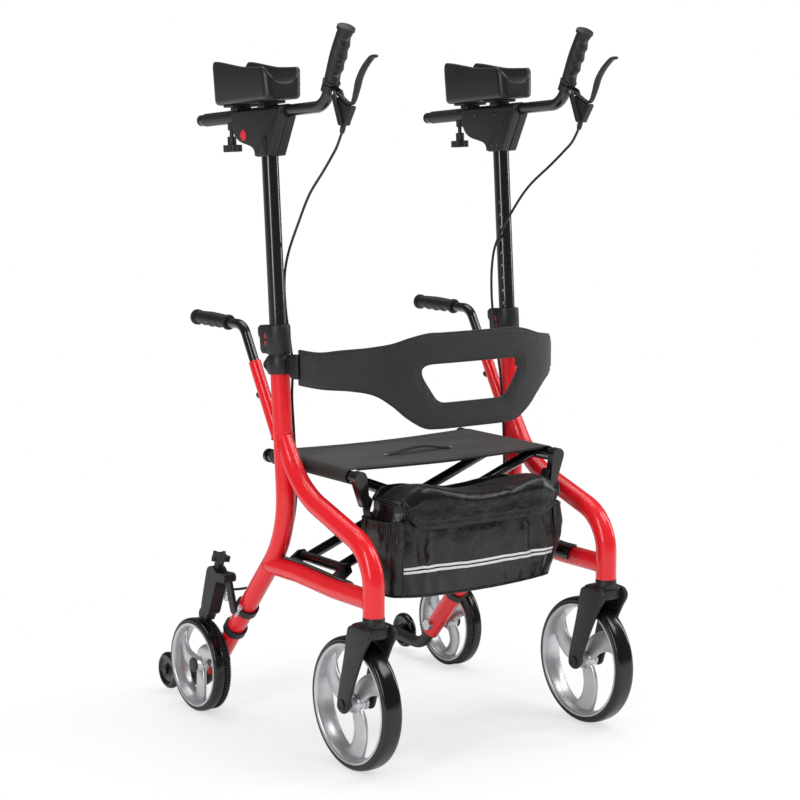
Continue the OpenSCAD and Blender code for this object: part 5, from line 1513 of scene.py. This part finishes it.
bag_pieces = [new_piece("bag_cloth", bag_shape(), nylon, sharp=80)]
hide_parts("bag")
cords = []
for u, r in ((0.012, 2.2), (0.985, 2.6)):
    cords.append(tube([bag_point(a, u, 0.6) for a in bag_turns], r, 8, closed=True))
for turn in (222, 318):
    cords.append(tube([bag_point(turn, u, 0.6) for u in bag_ups[1:]], 1.9, 8))
bag_pieces.append(new_piece("bag_seam_cords", joined(*cords), nylon, sharp=80))
tapes = []
for low in (357.0, 364.6):
    ups = [(low + h - bag_low) / (bag_high - bag_low) for h in (0.0, 1.5, 3.0, 4.5)]
    tapes.append(bag_patch(bag_turns[224:317], ups, 1.2, 0.6))
bag_pieces.append(new_piece("bag_reflective_tapes", joined(*tapes), reflective, sharp=60))
pockets = []
pocket_turn = 41
for centre in (0, 180):
    rows = []
    for a in np.linspace(centre - pocket_turn, centre + pocket_turn, 60):
        k = (a - centre) / pocket_turn
        row = []
        for u in np.linspace(0.03, 0.78, 34):
            full = (3.4 * ease(u / 0.3) + 10 * ease((u - 0.2) / 0.5)) * (1 - k ** 6)
            row.append(bag_point(a, u, 2.8 + full + 2.0 * ease((u - 0.3) / 0.4) * math.sin(k * 24)))
        rows.append(row)
    pockets.append(cloth_sheet(rows, 1.4))
    top = [row[-1] for row in rows]
    pockets.append(tube(top, 2.6 + 0.5 * np.sin(np.linspace(-30, 30, len(top))), 10))
bag_pieces.append(new_piece("bag_side_pockets", joined(*pockets), nylon, sharp=70))
tabs = []
for sign in (-1, 1):
    tab_line = smooth_line([(sign * x, y, z) for x, y, z in (
        (201 + sign * bag_x, -232, 452), (203.5 + sign * bag_x, -231, 470), (206, -229, 486),
        (212, -227, 496), (218, -226, 503))], 6)
    tabs.append(tube(tab_line, 12.5, 12, flat=0.11, up=(0, 1, 0)))
bag_pieces.append(new_piece("bag_hanging_tabs", joined(*tabs), webbing, sharp=60))
for made in bag_pieces:
    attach(made, "right_frame")
    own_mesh(made)


# Bag lid: one flap of the same nylon, sewn along its rear edge, that lies over the top of the bag
# and hangs down its front. Its free edge is rounded at the corners and bound with two cords.
lid_hinge, lid_front, lid_r, lid_half = (-240.0, 506.9), -327.5, 12.0, 191.0


def lid_path(flap_z):
    """The lid's line from its hinge, over the top and down the front to a height."""
    top = [(y, lid_hinge[1]) for y in np.linspace(lid_hinge[0], lid_front + lid_r, 16)]
    bend = [(lid_front + lid_r - lid_r * math.sin(a), lid_hinge[1] - lid_r + lid_r * math.cos(a))
            for a in np.linspace(0, math.pi / 2, 9)[1:]]
    fall = [(lid_front, z) for z in np.linspace(lid_hinge[1] - lid_r, flap_z, 15)[1:]]
    return top + bend + fall


def lid_row(x):
    """One line of the lid from its hinge to its free edge."""
    u = abs(x) / lid_half
    free = 441 + 54 * (1 - math.sqrt(max(0.0, 1 - max(0.0, (u - 0.7) / 0.3) ** 2)))
    corner = bag_deep / 2 * (1 - (1 - (abs(x) / 208) ** 5) ** 0.2)
    row = []
    path = lid_path(free)
    for k, (y, z) in enumerate(path):
        t = k / (len(path) - 1)
        puff = (3 + 7 * math.exp(-((u - 0.7) / 0.2) ** 2)) * math.sin(math.pi * min(1, t / 0.62)) ** 0.8
        puff -= 3.0 * math.exp(-((x - 20 - 90 * t) / 7) ** 2) * ease(t / 0.2)
        crease = noise.fractal(Vector((x / 55, t * 2.2, 8.0)), 0.8, 2.0, 4)
        lift = (puff + 1.6 * crease) * (1 - ease((t - 0.45) / 0.2)) * ease(t / 0.05)
        hang = ease((t - 0.45) / 0.2)
        out = (1.5 + 1.3 * crease + 2.5 * math.sin(math.pi * u) * ease((t - 0.7) / 0.3)) * hang
        lift -= rim_sink(x) * (1 - ease((t - 0.5) / 0.5))
        narrow = 1 - 0.06 * ease((t - 0.3) / 0.4)
        row.append((bag_x + x * narrow, y - out + corner * ease((lid_hinge[0] - y) / 60), z + lift))
    return row


lid_grid = np.array([lid_row(x) for x in np.linspace(-lid_half, lid_half, 110)])
lid = new_piece("lid_cloth", cloth_sheet(lid_grid, bag_cloth_t), nylon, sharp=80)
edge = np.vstack([lid_grid[0], lid_grid[1:-1, -1], lid_grid[-1][::-1]])
inner = np.vstack([lid_grid[3, :-3], lid_grid[4:-4, -4], lid_grid[-4, :-3][::-1]])
lid_cord = new_piece("lid_edge_cord", joined(tube(edge, 2.6, 10), tube(inner, 2.2, 10)), nylon, sharp=80)
for made in (lid, lid_cord):
    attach(made, "bag_lid")
    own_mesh(made)
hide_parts("bag_lid")
